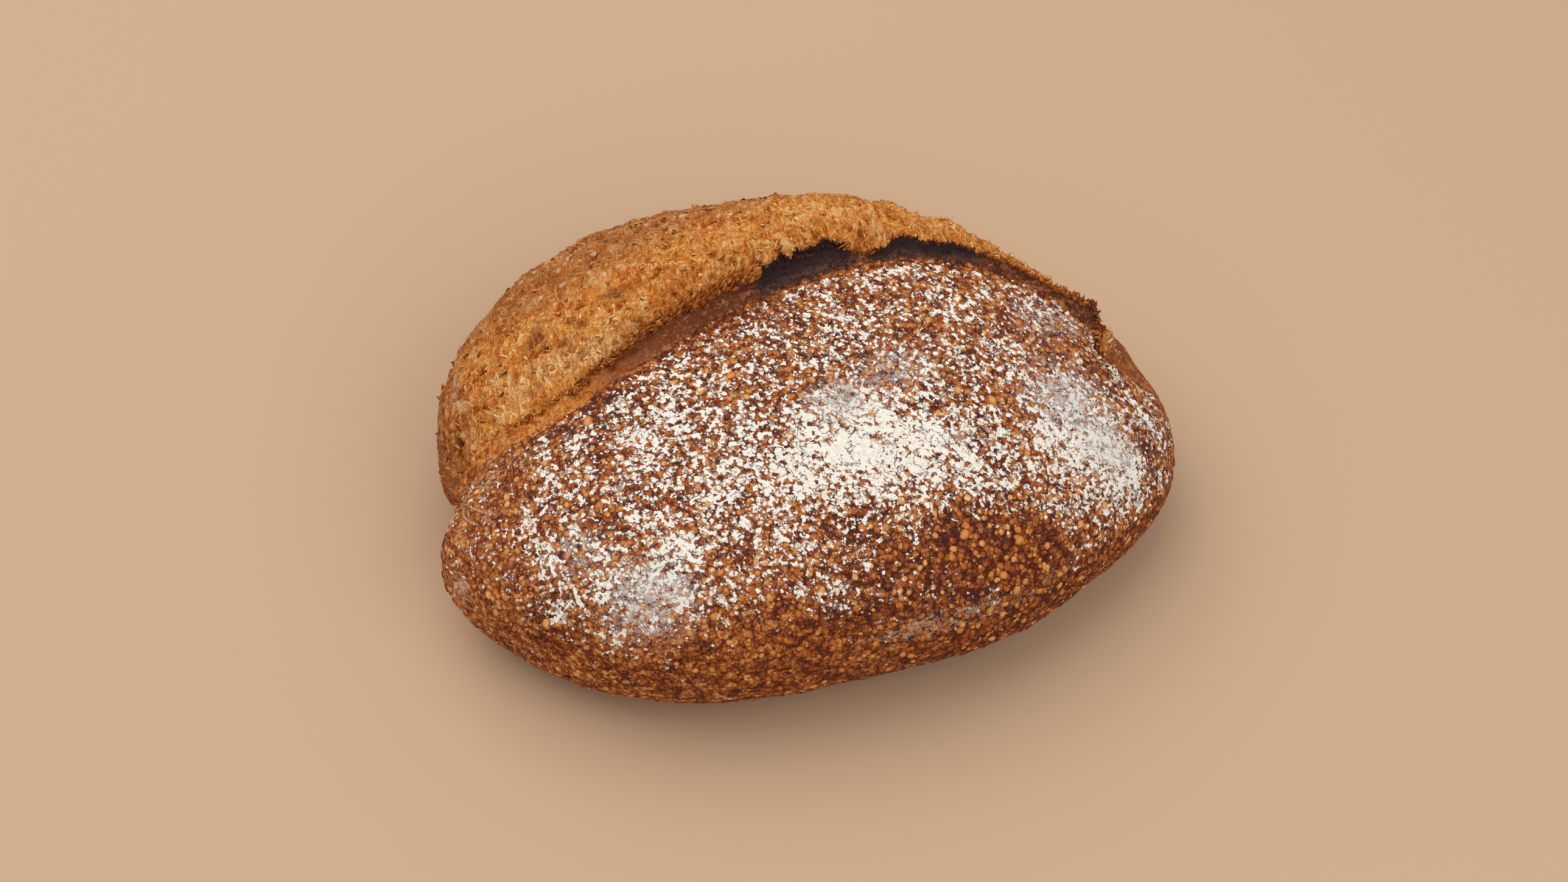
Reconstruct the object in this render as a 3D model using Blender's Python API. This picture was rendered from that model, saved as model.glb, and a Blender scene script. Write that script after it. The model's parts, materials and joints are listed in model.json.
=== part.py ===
"""Sourdough loaf: one solid, torn open along a slash into a floured flap, an ear and a bloom.

Run with: blender --background --python part.py
Metres, +Z up. The origin is the middle of the base, on the surface that the loaf stands on.
+X runs along the loaf, and the bloom is on its +Y side.
"""

import math

import bpy
import numpy as np
from mathutils import Vector, noise

# Driving dimensions of the dough, in metres
LENGTH = 0.284
SLASH_HEIGHT = 0.0975
BELLY_HEIGHT = 0.036
BELLY_DROP = 0.008
UNDERSIDE_DEPTH = 0.050
FRONT_WIDTH = 0.097
BACK_WIDTH = 0.110

# How the plan differs from an oval: widths change by these shares from the middle to the right end
FRONT_TAPER = -0.035
BACK_TAPER = -0.20
TOP_TAPER = 0.03
LEFT_BLUNTNESS = 2.37
RIGHT_BLUNTNESS = 1.90
SIDE_FULLNESS = 2.30

# Behind the slash the loaf keeps at least this share of its full back width
LEAST_BACK_SHARE = 0.3

# The sides meet the flat base at this angle below the belly, or at a smaller one
STEEPEST_RIM = math.sin(math.radians(70))
LEAST_SINK = 1e-6

# The slash, seen from above
SLASH_END_Y = -0.005
SLASH_BOW = 0.043
SLASH_SKEW = 1.0

# The left end sits further back and higher than the right end
LEFT_END_SHIFT = 0.009
LEFT_END_RISE = 0.006
LEFT_END_START = 0.60

# The ear is the strip of cut dough from the floured skin to its torn crest.
# Each profile gives (place along the loaf from -1 to 1, value), and values between are smoothed.
EAR_WIDTHS = (
    (-1.0, 0.003), (-0.8, 0.008), (-0.5, 0.0105), (0.05, 0.0105), (0.14, 0.0095), (0.22, 0.0032),
    (0.32, 0.0080), (0.50, 0.0060), (0.70, 0.0040), (0.79, 0.0058), (0.84, 0.0018), (1.0, 0.001),
)
EAR_LIFTS = ((-1.0, 0.0), (-0.60, 0.0), (-0.22, 0.8), (0.0, 1.0), (0.79, 1.0), (0.88, 0.0), (1.0, 0.0))
FLAT_ROOT_ANGLE = math.radians(-6)
FLAT_TIP_ANGLE = math.radians(-16)
LIFTED_ROOT_ANGLE = math.radians(26)
LIFTED_TIP_ANGLE = math.radians(70)
UNDERCUT = 0.0028

# The crest is ragged: its width varies by this share, in lumps of this size with two finer ones on top
CREST_RAGGED = 0.22
CREST_RAGGED_SIZE = 0.010
CREST_RAGGED_ROW = 4.0
RAGGED_FADE = 0.8
RAGGED_STEP = 2.2
RAGGED_LAYERS = 3

# Where the crumb meets the ear: a share of the flat ear's width, and a distance under the lifted one
ROOT_SHARE = 0.9
ROOT_UNDER_CREST = 0.0015

# The bloom is the torn crumb that swells behind the ear
VALLEY_DEPTHS = ((-1.0, 0.003), (-0.6, 0.0035), (-0.2, 0.008), (0.8, 0.0095), (0.95, 0.003), (1.0, 0.001))
VALLEY_REACH = 0.032
BLOOM_SWELLS = (
    (-1.0, 0.0), (-0.9, 0.003), (-0.65, 0.002), (-0.2, 0.0035), (0.15, 0.005), (0.45, 0.002),
    (0.7, 0.0), (1.0, 0.0),
)
BLOOM_SWELL_END = 0.75

# Crags of the torn crumb. The torn part starts and ends at these shares of the way down the back
CRAG_HEIGHT = 0.0016
CRAG_SIZE = 0.010
TORN_START = 0.06
TORN_END = 0.40
TORN_FADE = 0.20

# Each end of the loaf is pinched where the slash runs out, and bulges in front of the left pinch
LEFT_PINCH = 0.0125
RIGHT_PINCH = 0.0010
PINCH_REACH = 0.017
CREASE_DEPTHS = ((-1.0, 0.006), (-0.75, 0.003), (-0.5, 0.0), (0.84, 0.0), (0.93, 0.003), (1.0, 0.003))
CREASE_REACH = 0.012
CREASE_START = 0.02
CREASE_FADE = 0.03
LOBE_BULGE = 0.0085
LOBE_CENTRE = (-0.135, -0.030, 0.034)
LOBE_REACH = 0.026

# Slow unevenness of the skin. All relief fades out over this height above the flat base
SWELL_HEIGHT = 0.0020
SWELL_SIZE = 0.060
BASE_FADE = 0.015

# The mesh: rings along the loaf, and columns round it, by zone. The back's columns lie closer near the slash
RINGS = 104
BASE_COLUMNS = 4
FRONT_COLUMNS = 20
EAR_COLUMNS = 6
BACK_COLUMNS = 26
COLUMNS = FRONT_COLUMNS + EAR_COLUMNS + BACK_COLUMNS
FRONT_BUNCHING = 1.0
BACK_BUNCHING = 0.88

CRUST_COLOUR = (0.30, 0.12, 0.045, 1.0)
CRUST_ROUGHNESS = 0.8

UP = np.array([0.0, 0.0, 1.0])


def clear_scene():
    for obj in list(bpy.data.objects):
        bpy.data.objects.remove(obj)


def smooth(share):
    share = np.clip(share, 0.0, 1.0)
    return share * share * (3.0 - 2.0 * share)


def signed_power(value, power):
    return np.sign(value) * np.abs(value) ** power


def profile(place, points):
    """The profile's value at each place, eased from one point to the next."""
    places, values = np.array(points).T
    after = np.clip(np.searchsorted(places, place), 1, len(places) - 1)
    share = (place - places[after - 1]) / (places[after] - places[after - 1])
    return values[after - 1] + (values[after] - values[after - 1]) * smooth(share)


def noise_of(points, size):
    """Smooth noise from about -1 to 1 at each point, with lumps of that size."""
    return np.array([noise.noise(Vector(p) / size) for p in points])


class Station:
    """What the sections of the loaf measure at each place along it, from -1 at the left end to 1."""

    def __init__(self, along):
        bluntness = np.where(along < 0.0, LEFT_BLUNTNESS, RIGHT_BLUNTNESS)
        girth = (1.0 - np.abs(along) ** bluntness) ** (1.0 / bluntness)
        bow = SLASH_BOW * (1.0 - along**2) * (1.0 + SLASH_SKEW * along)
        front = (FRONT_WIDTH + SLASH_END_Y) * girth * (1.0 + FRONT_TAPER * along)
        back = (BACK_WIDTH - SLASH_END_Y) * girth * (1.0 + BACK_TAPER * along)
        near_left_end = np.where(along < 0.0, (1.0 - girth) ** 2, 0.0)
        end_y = SLASH_END_Y + LEFT_END_SHIFT * near_left_end
        slash_shift = LEFT_END_SHIFT * smooth((-along - LEFT_END_START) / (1.0 - LEFT_END_START))
        self.along = along
        self.slash_y = SLASH_END_Y + bow + slash_shift
        self.front_width = front + self.slash_y - end_y
        self.back_width = np.maximum(back - self.slash_y + end_y, LEAST_BACK_SHARE * back)
        self.belly = BELLY_HEIGHT - BELLY_DROP * along**2 + LEFT_END_RISE * near_left_end
        self.rise = (SLASH_HEIGHT - BELLY_HEIGHT) * girth * (1.0 + TOP_TAPER * along)
        self.sink = UNDERSIDE_DEPTH * girth
        self.lift = profile(along, EAR_LIFTS)
        level = np.minimum(self.belly / np.maximum(self.sink, LEAST_SINK), 1.0) ** (SIDE_FULLNESS / 2.0)
        self.rim = np.degrees(np.arcsin(np.minimum(level, STEEPEST_RIM)))


def turn_to_slash(steps, columns, station, bunching):
    """The angle from straight down, 0, to the slash, 180: first the flat base, then its rim to the slash."""
    under = (90.0 - station.rim) * steps / BASE_COLUMNS
    share = np.clip((steps - BASE_COLUMNS) / (columns - BASE_COLUMNS), 0.0, 1.0)
    side = 90.0 - station.rim + (90.0 + station.rim) * share**bunching
    return np.where(steps < BASE_COLUMNS, under, side)


def dough(station, angle):
    """Points of the plain dough. The angle turns about +X from +Y, and the slash is at 90 degrees."""
    across = signed_power(np.cos(angle), 2.0 / SIDE_FULLNESS)
    upward = signed_power(np.sin(angle), 2.0 / SIDE_FULLNESS)
    width = np.where(across < 0.0, station.front_width, station.back_width)
    height = np.where(upward > 0.0, station.rise, station.sink)
    x = station.along * LENGTH / 2.0 + 0.0 * angle
    return np.stack([x, station.slash_y + width * across, station.belly + height * upward], -1)


def leaning_back(station):
    """The level direction that points away from the slash, towards the bloom."""
    slope = SLASH_BOW * (SLASH_SKEW * (1.0 - 3.0 * station.along**2) - 2.0 * station.along) / (LENGTH / 2.0)
    length = np.hypot(slope, 1.0)
    return np.stack([-slope / length, 1.0 / length, 0.0 * slope], -1)


def ear_tip(station):
    """Where the ear's crest is, as an offset from the slash, and the angles at which it bends there."""
    root = FLAT_ROOT_ANGLE + (LIFTED_ROOT_ANGLE - FLAT_ROOT_ANGLE) * station.lift
    tip = FLAT_TIP_ANGLE + (LIFTED_TIP_ANGLE - FLAT_TIP_ANGLE) * station.lift
    ragged = np.empty(len(station.along))
    for number, along in enumerate(station.along):
        spot = Vector((along * LENGTH / 2.0 / CREST_RAGGED_SIZE, 0.0, CREST_RAGGED_ROW))
        ragged[number] = noise.fractal(spot, RAGGED_FADE, RAGGED_STEP, RAGGED_LAYERS)
    width = profile(station.along, EAR_WIDTHS) * (1.0 + CREST_RAGGED * ragged)
    return width, root, tip


def ear_top(station, share):
    """Offsets from the slash along the top of the ear: share 0 is its root and 1 is its crest."""
    width, root, tip = ear_tip(station)
    bend = root + (tip - root) * share / 2.0
    level = width * share * np.cos(bend)
    up = width * share * np.sin(bend)
    return level[:, None] * leaning_back(station) + up[:, None] * UP


def valley_root(station):
    """Where the torn crumb meets the underside of the ear, as an offset from the slash."""
    width, _, _ = ear_tip(station)
    level = width * (1.0 - station.lift) * ROOT_SHARE + ROOT_UNDER_CREST * station.lift
    depth = profile(station.along, VALLEY_DEPTHS)
    return level[:, None] * leaning_back(station) - depth[:, None] * UP


def loaf_points(polar, column):
    """The loaf's surface at each angle from its right end and each column round it."""
    station = Station(np.cos(polar))
    top = np.radians(90.0) + 0.0 * polar
    slash = dough(station, top)
    points = np.empty(polar.shape + (3,))

    # The floured front, from the middle of the underside up to the slash
    front = column <= FRONT_COLUMNS
    turn = turn_to_slash(column, FRONT_COLUMNS, station, FRONT_BUNCHING)
    points[front] = dough(station, np.radians(270.0 - turn))[front]

    # The ear, out along its top and back down its underside
    share = (column - FRONT_COLUMNS) / EAR_COLUMNS * 2.0
    over = (share > 0.0) & (share <= 1.0)
    points[over] = (slash + ear_top(station, share))[over]
    under = (share > 1.0) & (share < 2.0)
    back_in = np.clip(share - 1.0, 0.0, 1.0)
    crest = ear_top(station, np.ones_like(share))
    root = valley_root(station)
    hollow = UNDERCUT * station.lift * np.sin(math.pi * back_in)
    wall = crest + (root - crest) * back_in[:, None] - hollow[:, None] * leaning_back(station)
    points[under] = (slash + wall)[under]

    # The bloom, down the back and under to the middle of the underside
    behind = column >= FRONT_COLUMNS + EAR_COLUMNS
    turn = turn_to_slash(COLUMNS - column, BACK_COLUMNS, station, BACK_BUNCHING)
    back = dough(station, np.radians(turn - 90.0))
    reach = np.linalg.norm(back - slash, axis=-1)
    fade = 1.0 - smooth(reach / VALLEY_REACH)
    points[behind] = (back + root * fade[:, None])[behind]
    return points, slash, station


def pinch(points, slash, station):
    """Draws the two ends in, and sinks the crease that runs from them along the slash."""
    for side, depth in ((-1.0, LEFT_PINCH), (1.0, RIGHT_PINCH)):
        end = np.array([side * LENGTH / 2.0, SLASH_END_Y, BELLY_HEIGHT - BELLY_DROP])
        away = np.linalg.norm(points - end, axis=-1)
        points[:, 0] -= side * depth * np.exp(-((away / PINCH_REACH) ** 2))
    away = np.linalg.norm(points - np.array(LOBE_CENTRE), axis=-1)
    points[:, 0] -= LOBE_BULGE * np.exp(-((away / LOBE_REACH) ** 2))
    reach = np.linalg.norm(points - slash, axis=-1)
    crease = profile(station.along, CREASE_DEPTHS) * np.exp(-((reach / CREASE_REACH) ** 2))
    points[:, 2] -= crease * smooth((points[:, 2] - CREASE_START) / CREASE_FADE)


def roughen(points, normals, column, along):
    """Slow swells all over, the rounder bloom, and crags where its crumb is torn."""
    behind = np.maximum(column - FRONT_COLUMNS - EAR_COLUMNS, 0.0) / BACK_COLUMNS
    torn = smooth(behind / TORN_START) * (1.0 - smooth((behind - TORN_END) / TORN_FADE))
    off_base = smooth(points[:, 2] / BASE_FADE)
    relief = SWELL_HEIGHT * noise_of(points, SWELL_SIZE)
    rounder = np.sin(math.pi * np.minimum(behind / BLOOM_SWELL_END, 1.0))
    relief = relief + profile(along, BLOOM_SWELLS) * rounder
    relief = relief + CRAG_HEIGHT * torn * noise_of(points, CRAG_SIZE)
    return points + normals * (relief * off_base)[:, None]


def crust_material():
    material = bpy.data.materials.new("crust")
    material.use_nodes = True
    shader = material.node_tree.nodes["Principled BSDF"]
    shader.inputs["Base Color"].default_value = CRUST_COLOUR
    shader.inputs["Roughness"].default_value = CRUST_ROUGHNESS
    shader.inputs["Metallic"].default_value = 0.0
    return material


def points_of(mesh, kind="co"):
    values = np.empty(len(mesh.vertices) * 3)
    if kind == "co":
        mesh.vertices.foreach_get("co", values)
    else:
        mesh.vertex_normals.foreach_get("vector", values)
    return values.reshape(-1, 3)


def set_points(mesh, points):
    mesh.vertices.foreach_set("co", points.ravel())
    mesh.update()


def make_loaf(collection):
    """A sphere with its poles at the loaf's two ends, each vertex moved to its place on the loaf."""
    bpy.ops.mesh.primitive_uv_sphere_add(segments=COLUMNS, ring_count=RINGS, radius=1.0)
    loaf = bpy.context.object
    loaf.name = "loaf"
    mesh = loaf.data
    mesh.name = "loaf"
    sphere = points_of(mesh)
    polar = np.arccos(np.clip(sphere[:, 2], -1.0, 1.0))
    turn = (270.0 - np.degrees(np.arctan2(sphere[:, 1], sphere[:, 0]))) % 360.0
    column = np.round(turn / 360.0 * COLUMNS) % COLUMNS
    points, slash, station = loaf_points(polar, column)
    pinch(points, slash, station)
    set_points(mesh, points)
    points = roughen(points, points_of(mesh, "normal"), column, station.along)
    points[:, 2] = np.maximum(points[:, 2], 0.0)
    middle = (points.min(axis=0) + points.max(axis=0)) / 2.0
    points[:, :2] -= middle[:2]
    set_points(mesh, points)
    mesh.shade_smooth()
    mesh.materials.append(crust_material())
    for other in list(loaf.users_collection):
        other.objects.unlink(loaf)
    collection.objects.link(loaf)
    return loaf


def main():
    clear_scene()
    collection = bpy.data.collections.new("sourdough_loaf")
    bpy.context.scene.collection.children.link(collection)
    make_loaf(collection)


main()
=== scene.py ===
# %% [markdown]
# # A sourdough loaf
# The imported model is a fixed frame: one solid with the loaf's true size and main form. This lesson dresses
# it. The same form is made again on two much finer meshes, the floured skin and the bloom. Their crust gets
# blisters, flour and torn crumb, and the ragged things that no skin can carry are meshes of their own.

# %% Load the frame
import json
import math

import bpy
import numpy as np
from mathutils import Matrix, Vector, noise

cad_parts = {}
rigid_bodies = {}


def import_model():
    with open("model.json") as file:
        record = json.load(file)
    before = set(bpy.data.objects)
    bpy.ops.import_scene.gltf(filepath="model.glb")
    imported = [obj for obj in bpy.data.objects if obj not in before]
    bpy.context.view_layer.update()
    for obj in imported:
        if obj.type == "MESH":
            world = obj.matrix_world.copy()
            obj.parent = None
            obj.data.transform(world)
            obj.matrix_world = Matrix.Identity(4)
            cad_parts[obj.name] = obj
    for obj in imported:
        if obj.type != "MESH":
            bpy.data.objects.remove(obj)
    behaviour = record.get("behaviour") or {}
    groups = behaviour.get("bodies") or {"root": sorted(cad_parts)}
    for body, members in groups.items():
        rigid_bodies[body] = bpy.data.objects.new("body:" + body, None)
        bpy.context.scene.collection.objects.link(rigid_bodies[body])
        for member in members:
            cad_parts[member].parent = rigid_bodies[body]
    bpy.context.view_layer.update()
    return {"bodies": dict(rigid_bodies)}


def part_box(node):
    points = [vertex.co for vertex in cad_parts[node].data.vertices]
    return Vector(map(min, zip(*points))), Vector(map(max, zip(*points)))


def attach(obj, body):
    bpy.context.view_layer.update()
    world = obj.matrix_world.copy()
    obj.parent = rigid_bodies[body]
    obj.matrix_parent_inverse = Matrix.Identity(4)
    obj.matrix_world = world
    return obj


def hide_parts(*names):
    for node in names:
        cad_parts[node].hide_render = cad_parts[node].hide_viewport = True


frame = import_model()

LOAF_BOX = np.array([list(corner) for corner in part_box("loaf")])
RANDOM = np.random.default_rng(7)
TO_MM = 1000.0
print("frame box in mm:", np.round(LOAF_BOX * TO_MM, 1).tolist())

# %% [markdown]
# ## Camera
# The loaf is seen from above its front, a little from the left. A long lens at arm's length keeps the two
# ends in proportion. The camera is placed from three plain facts: the direction it looks from, the distance,
# and the pixel at which the middle of the loaf shows.

# %% Camera
PHOTO_WIDTH = 2576
PHOTO_HEIGHT = 1449
LENS = 0.075
SENSOR = 0.036
CAMERA_TURN = math.radians(-10.17)
CAMERA_HEIGHT = math.radians(52.0)
CAMERA_DISTANCE = 1.2541
LOOKED_AT = Vector((0.0, -0.008, 0.04))
SHOWN_AT = (1324.3, 745.0)


def add_camera():
    """A camera without shift: it is moved sideways until the point looked at shows at its pixel."""
    back = Vector((
        math.sin(CAMERA_TURN) * math.cos(CAMERA_HEIGHT),
        -math.cos(CAMERA_TURN) * math.cos(CAMERA_HEIGHT),
        math.sin(CAMERA_HEIGHT),
    ))
    right = Vector((math.cos(CAMERA_TURN), math.sin(CAMERA_TURN), 0.0))
    up = back.cross(right)
    pixel = SENSOR / PHOTO_WIDTH / LENS * CAMERA_DISTANCE
    data = bpy.data.cameras.new("camera")
    data.lens = LENS * TO_MM
    data.sensor_width = SENSOR * TO_MM
    camera = bpy.data.objects.new("camera", data)
    bpy.context.scene.collection.objects.link(camera)
    aside = right * (SHOWN_AT[0] - PHOTO_WIDTH / 2) - up * (SHOWN_AT[1] - PHOTO_HEIGHT / 2)
    camera.location = LOOKED_AT + back * CAMERA_DISTANCE - aside * pixel
    camera.rotation_euler = (-back).to_track_quat("-Z", "Y").to_euler()
    bpy.context.scene.camera = camera
    return camera


print("camera at", [round(value, 3) for value in add_camera().location])

# %% [markdown]
# ## The form of the dough
# The loaf is a row of sections from its left end to its right. Each one is a rounded box that is split at
# the slash, with a front width and a back width of its own. The named sizes are the solid's own, so the fine
# meshes lie on it. Only the hidden wall behind the ear differs: here it is thicker and carries no relief.

# %% Sizes of the dough
LENGTH = 0.284
SLASH_HEIGHT = 0.0975
BELLY_HEIGHT = 0.036
BELLY_DROP = 0.008
UNDERSIDE_DEPTH = 0.050
FRONT_WIDTH = 0.097
BACK_WIDTH = 0.110
FRONT_TAPER = -0.035
BACK_TAPER = -0.20
TOP_TAPER = 0.03
LEFT_BLUNTNESS = 2.37
RIGHT_BLUNTNESS = 1.90
SIDE_FULLNESS = 2.30
STEEPEST_RIM = math.sin(math.radians(70))
SLASH_END_Y = -0.005
SLASH_BOW = 0.043
SLASH_SKEW = 1.0
LEFT_END_SHIFT = 0.009
LEFT_END_RISE = 0.006
LEFT_END_START = 0.60
LEAST_BACK_SHARE = 0.3

# %% Sizes of the ear, the bloom and the ends
EAR_WIDTHS = (
    (-1.0, 0.003), (-0.8, 0.008), (-0.5, 0.0105), (0.05, 0.0105), (0.14, 0.0095), (0.22, 0.0032),
    (0.32, 0.0080), (0.50, 0.0060), (0.70, 0.0040), (0.79, 0.0058), (0.84, 0.0018), (1.0, 0.001),
)
EAR_LIFTS = ((-1.0, 0.0), (-0.60, 0.0), (-0.22, 0.8), (0.0, 1.0), (0.79, 1.0), (0.88, 0.0), (1.0, 0.0))
FLAT_ROOT_ANGLE = math.radians(-6)
FLAT_TIP_ANGLE = math.radians(-16)
LIFTED_ROOT_ANGLE = math.radians(26)
LIFTED_TIP_ANGLE = math.radians(70)
THICKER_BEHIND = 0.0018
CREST_RAGGED = 0.22
CREST_RAGGED_SIZE = 0.010
VALLEY_DEPTHS = ((-1.0, 0.003), (-0.6, 0.0035), (-0.2, 0.008), (0.8, 0.0095), (0.95, 0.003), (1.0, 0.001))
VALLEY_REACH = 0.032
BLOOM_SWELLS = (
    (-1.0, 0.0), (-0.9, 0.003), (-0.65, 0.002), (-0.2, 0.0035), (0.15, 0.005), (0.45, 0.002),
    (0.7, 0.0), (1.0, 0.0),
)
BLOOM_SWELL_END = 0.75
CRAG_HEIGHT = 0.0016
CRAG_SIZE = 0.010
LEFT_PINCH = 0.0125
RIGHT_PINCH = 0.0010
PINCH_REACH = 0.017
CREASE_DEPTHS = ((-1.0, 0.006), (-0.75, 0.003), (-0.5, 0.0), (0.84, 0.0), (0.93, 0.003), (1.0, 0.003))
CREASE_REACH = 0.012
CREASE_ABOVE = (0.02, 0.03)
LOBE_BULGE = 0.0085
LOBE_CENTRE = (-0.135, -0.030, 0.034)
LOBE_REACH = 0.026
SWELL_HEIGHT = 0.0020
SWELL_SIZE = 0.060

# %% [markdown]
# ## Helpers for profiles and noise
# A profile is a short list of places and values with eased steps between them, which is enough to say how
# wide the ear is along the loaf. A rise is one such step, named by where it starts and how wide it is. Noise
# gives everything that baking left to chance, and each shift of it gives another pattern.

# %% Profiles and noise
UP = np.array([0.0, 0.0, 1.0])


def smooth(share):
    share = np.clip(share, 0.0, 1.0)
    return share * share * (3.0 - 2.0 * share)


def rising(value, start, width):
    """0 up to the start, 1 from a width above it, and eased between them."""
    return smooth((value - start) / width)


def signed_power(value, power):
    return np.sign(value) * np.abs(value) ** power


def profile(place, points):
    """The profile's value at each place, eased from one point to the next."""
    places, values = np.array(points).T
    after = np.clip(np.searchsorted(places, place), 1, len(places) - 1)
    share = (place - places[after - 1]) / (places[after] - places[after - 1])
    return values[after - 1] + (values[after] - values[after - 1]) * smooth(share)


def noise_of(points, size, shift=0.0):
    """Smooth noise from about -1 to 1 at each point, with lumps of that size."""
    return np.array([noise.noise(point) for point in (points / size + shift).tolist()])


def rough_noise_of(points, size, octaves, shift=0.0):
    """The same with finer lumps added on top of the coarse ones."""
    return np.array([noise.fractal(point, 0.8, 2.2, octaves) for point in (points / size + shift).tolist()])


# %% [markdown]
# ## Sections along the loaf
# A station holds what the sections measure at each place, from -1 at the left end to 1 at the right end.

# %% Stations
class Station:
    def __init__(self, along):
        bluntness = np.where(along < 0.0, LEFT_BLUNTNESS, RIGHT_BLUNTNESS)
        girth = (1.0 - np.abs(along) ** bluntness) ** (1.0 / bluntness)
        bow = SLASH_BOW * (1.0 - along**2) * (1.0 + SLASH_SKEW * along)
        front = (FRONT_WIDTH + SLASH_END_Y) * girth * (1.0 + FRONT_TAPER * along)
        back = (BACK_WIDTH - SLASH_END_Y) * girth * (1.0 + BACK_TAPER * along)
        near_left_end = np.where(along < 0.0, (1.0 - girth) ** 2, 0.0)
        end_y = SLASH_END_Y + LEFT_END_SHIFT * near_left_end
        slash_shift = LEFT_END_SHIFT * smooth((-along - LEFT_END_START) / (1.0 - LEFT_END_START))
        self.along = along
        self.slash_y = SLASH_END_Y + bow + slash_shift
        self.front_width = front + self.slash_y - end_y
        self.back_width = np.maximum(back - self.slash_y + end_y, LEAST_BACK_SHARE * back)
        self.belly = BELLY_HEIGHT - BELLY_DROP * along**2 + LEFT_END_RISE * near_left_end
        self.rise = (SLASH_HEIGHT - BELLY_HEIGHT) * girth * (1.0 + TOP_TAPER * along)
        self.sink = UNDERSIDE_DEPTH * girth
        self.lift = profile(along, EAR_LIFTS)
        level = np.minimum(self.belly / np.maximum(self.sink, 1e-6), 1.0) ** (SIDE_FULLNESS / 2.0)
        self.rim = np.degrees(np.arcsin(np.minimum(level, STEEPEST_RIM)))


def dough(station, angle):
    """Points of the plain dough. The angle turns about +X from +Y, and the slash is at 90 degrees."""
    across = signed_power(np.cos(angle), 2.0 / SIDE_FULLNESS)
    upward = signed_power(np.sin(angle), 2.0 / SIDE_FULLNESS)
    width = np.where(across < 0.0, station.front_width, station.back_width)
    height = np.where(upward > 0.0, station.rise, station.sink)
    x = station.along * LENGTH / 2.0 + 0.0 * angle
    return np.stack([x, station.slash_y + width * across, station.belly + height * upward], -1)


# %% [markdown]
# ## The ear
# When the oven opens the slash, its front lip lifts and bakes hard: that is the ear. It is a strip that
# leaves the floured skin at the slash line and bends up to a torn crest. On the real loaf the crest is
# ragged at the scale of crumb, so finer noise is added to the solid's raggedness.

# %% The ear's shape
FINE_RAGGED = 0.16
FINE_RAGGED_SIZE = 0.0030
ROOT_SHARE = 0.9
ROOT_UNDER_CREST = 0.0015


def leaning_back(station):
    """The level direction that points away from the slash, towards the bloom."""
    slope = SLASH_BOW * (SLASH_SKEW * (1.0 - 3.0 * station.along**2) - 2.0 * station.along) / (LENGTH / 2.0)
    length = np.hypot(slope, 1.0)
    return np.stack([-slope / length, 1.0 / length, 0.0 * slope], -1)


def ragged_line(along, size, row):
    """Fractal noise along a line at each place."""
    places = (along * LENGTH / 2.0 / size).tolist()
    return np.array([noise.fractal((place, 0.0, row), 0.8, 2.2, 3) for place in places])


def ear_tip(station):
    """The ear's width, and the angles at which it starts and ends."""
    root = FLAT_ROOT_ANGLE + (LIFTED_ROOT_ANGLE - FLAT_ROOT_ANGLE) * station.lift
    tip = FLAT_TIP_ANGLE + (LIFTED_TIP_ANGLE - FLAT_TIP_ANGLE) * station.lift
    width = 1.0 + CREST_RAGGED * ragged_line(station.along, CREST_RAGGED_SIZE, 4.0)
    width = width + FINE_RAGGED * ragged_line(station.along, FINE_RAGGED_SIZE, 9.0)
    return width * profile(station.along, EAR_WIDTHS), root, tip


def ear_top(station, tip_of_ear, share):
    """Offsets from the slash along the top of the ear: share 0 is its root and 1 is its crest."""
    width, root, tip = tip_of_ear
    bend = root + (tip - root) * share * 0.5
    level = width * share * np.cos(bend)
    up = width * share * np.sin(bend)
    return level[:, None] * leaning_back(station) + up[:, None] * UP


def valley_root(station):
    """Where the torn crumb meets the underside of the ear, as an offset from the slash."""
    level = profile(station.along, EAR_WIDTHS) * (1.0 - station.lift) * ROOT_SHARE
    level = level + ROOT_UNDER_CREST * station.lift
    depth = profile(station.along, VALLEY_DEPTHS)
    return level[:, None] * leaning_back(station) - depth[:, None] * UP


# %% [markdown]
# ## A sphere becomes a loaf
# A UV sphere with its poles at the loaf's two ends has the right layout: its rings are the sections and its
# columns run along the loaf. Each column belongs to a zone, and every vertex is moved to its place in that
# zone. Two such spheres share the fine faces out: one is the whole loaf with a fine front and ear, and the
# other is the bloom alone, a thick slice that lies on the first one's back.

# %% One closed mesh
def read_vectors(mesh, normals=False):
    values = np.empty(len(mesh.vertices) * 3)
    if normals:
        mesh.vertex_normals.foreach_get("vector", values)
    else:
        mesh.vertices.foreach_get("co", values)
    return values.reshape(-1, 3)


def set_points(mesh, points):
    mesh.vertices.foreach_set("co", points.ravel())
    mesh.update()


class Surface:
    """A sphere whose columns are shared out over named zones. In each zone the share runs from 0 to 1."""

    def __init__(self, name, rings, zones):
        columns = sum(zones.values())
        bpy.ops.mesh.primitive_uv_sphere_add(segments=columns, ring_count=rings, radius=1.0)
        self.piece = bpy.context.object
        self.piece.name = name
        sphere = read_vectors(self.piece.data)
        polar = np.arccos(np.clip(sphere[:, 2], -1.0, 1.0))
        turned = (270.0 - np.degrees(np.arctan2(sphere[:, 1], sphere[:, 0]))) % 360.0
        column = np.round(turned / 360.0 * columns).astype(int) % columns
        self.zone = np.repeat(list(zones), list(zones.values()))[column]
        self.share = np.concatenate([np.arange(steps) / steps for steps in zones.values()])[column]
        self.along = np.cos(polar)


skin = Surface("floured_skin", 420, {
    "front_base": 6, "front": 130, "ear": 22, "wall": 16, "back": 34, "back_base": 4,
})
bloom = Surface("bloom", 470, {"back": 192, "inside": 12})
SURFACES = (skin, bloom)
print("faces:", [len(at.piece.data.polygons) for at in SURFACES])

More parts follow.
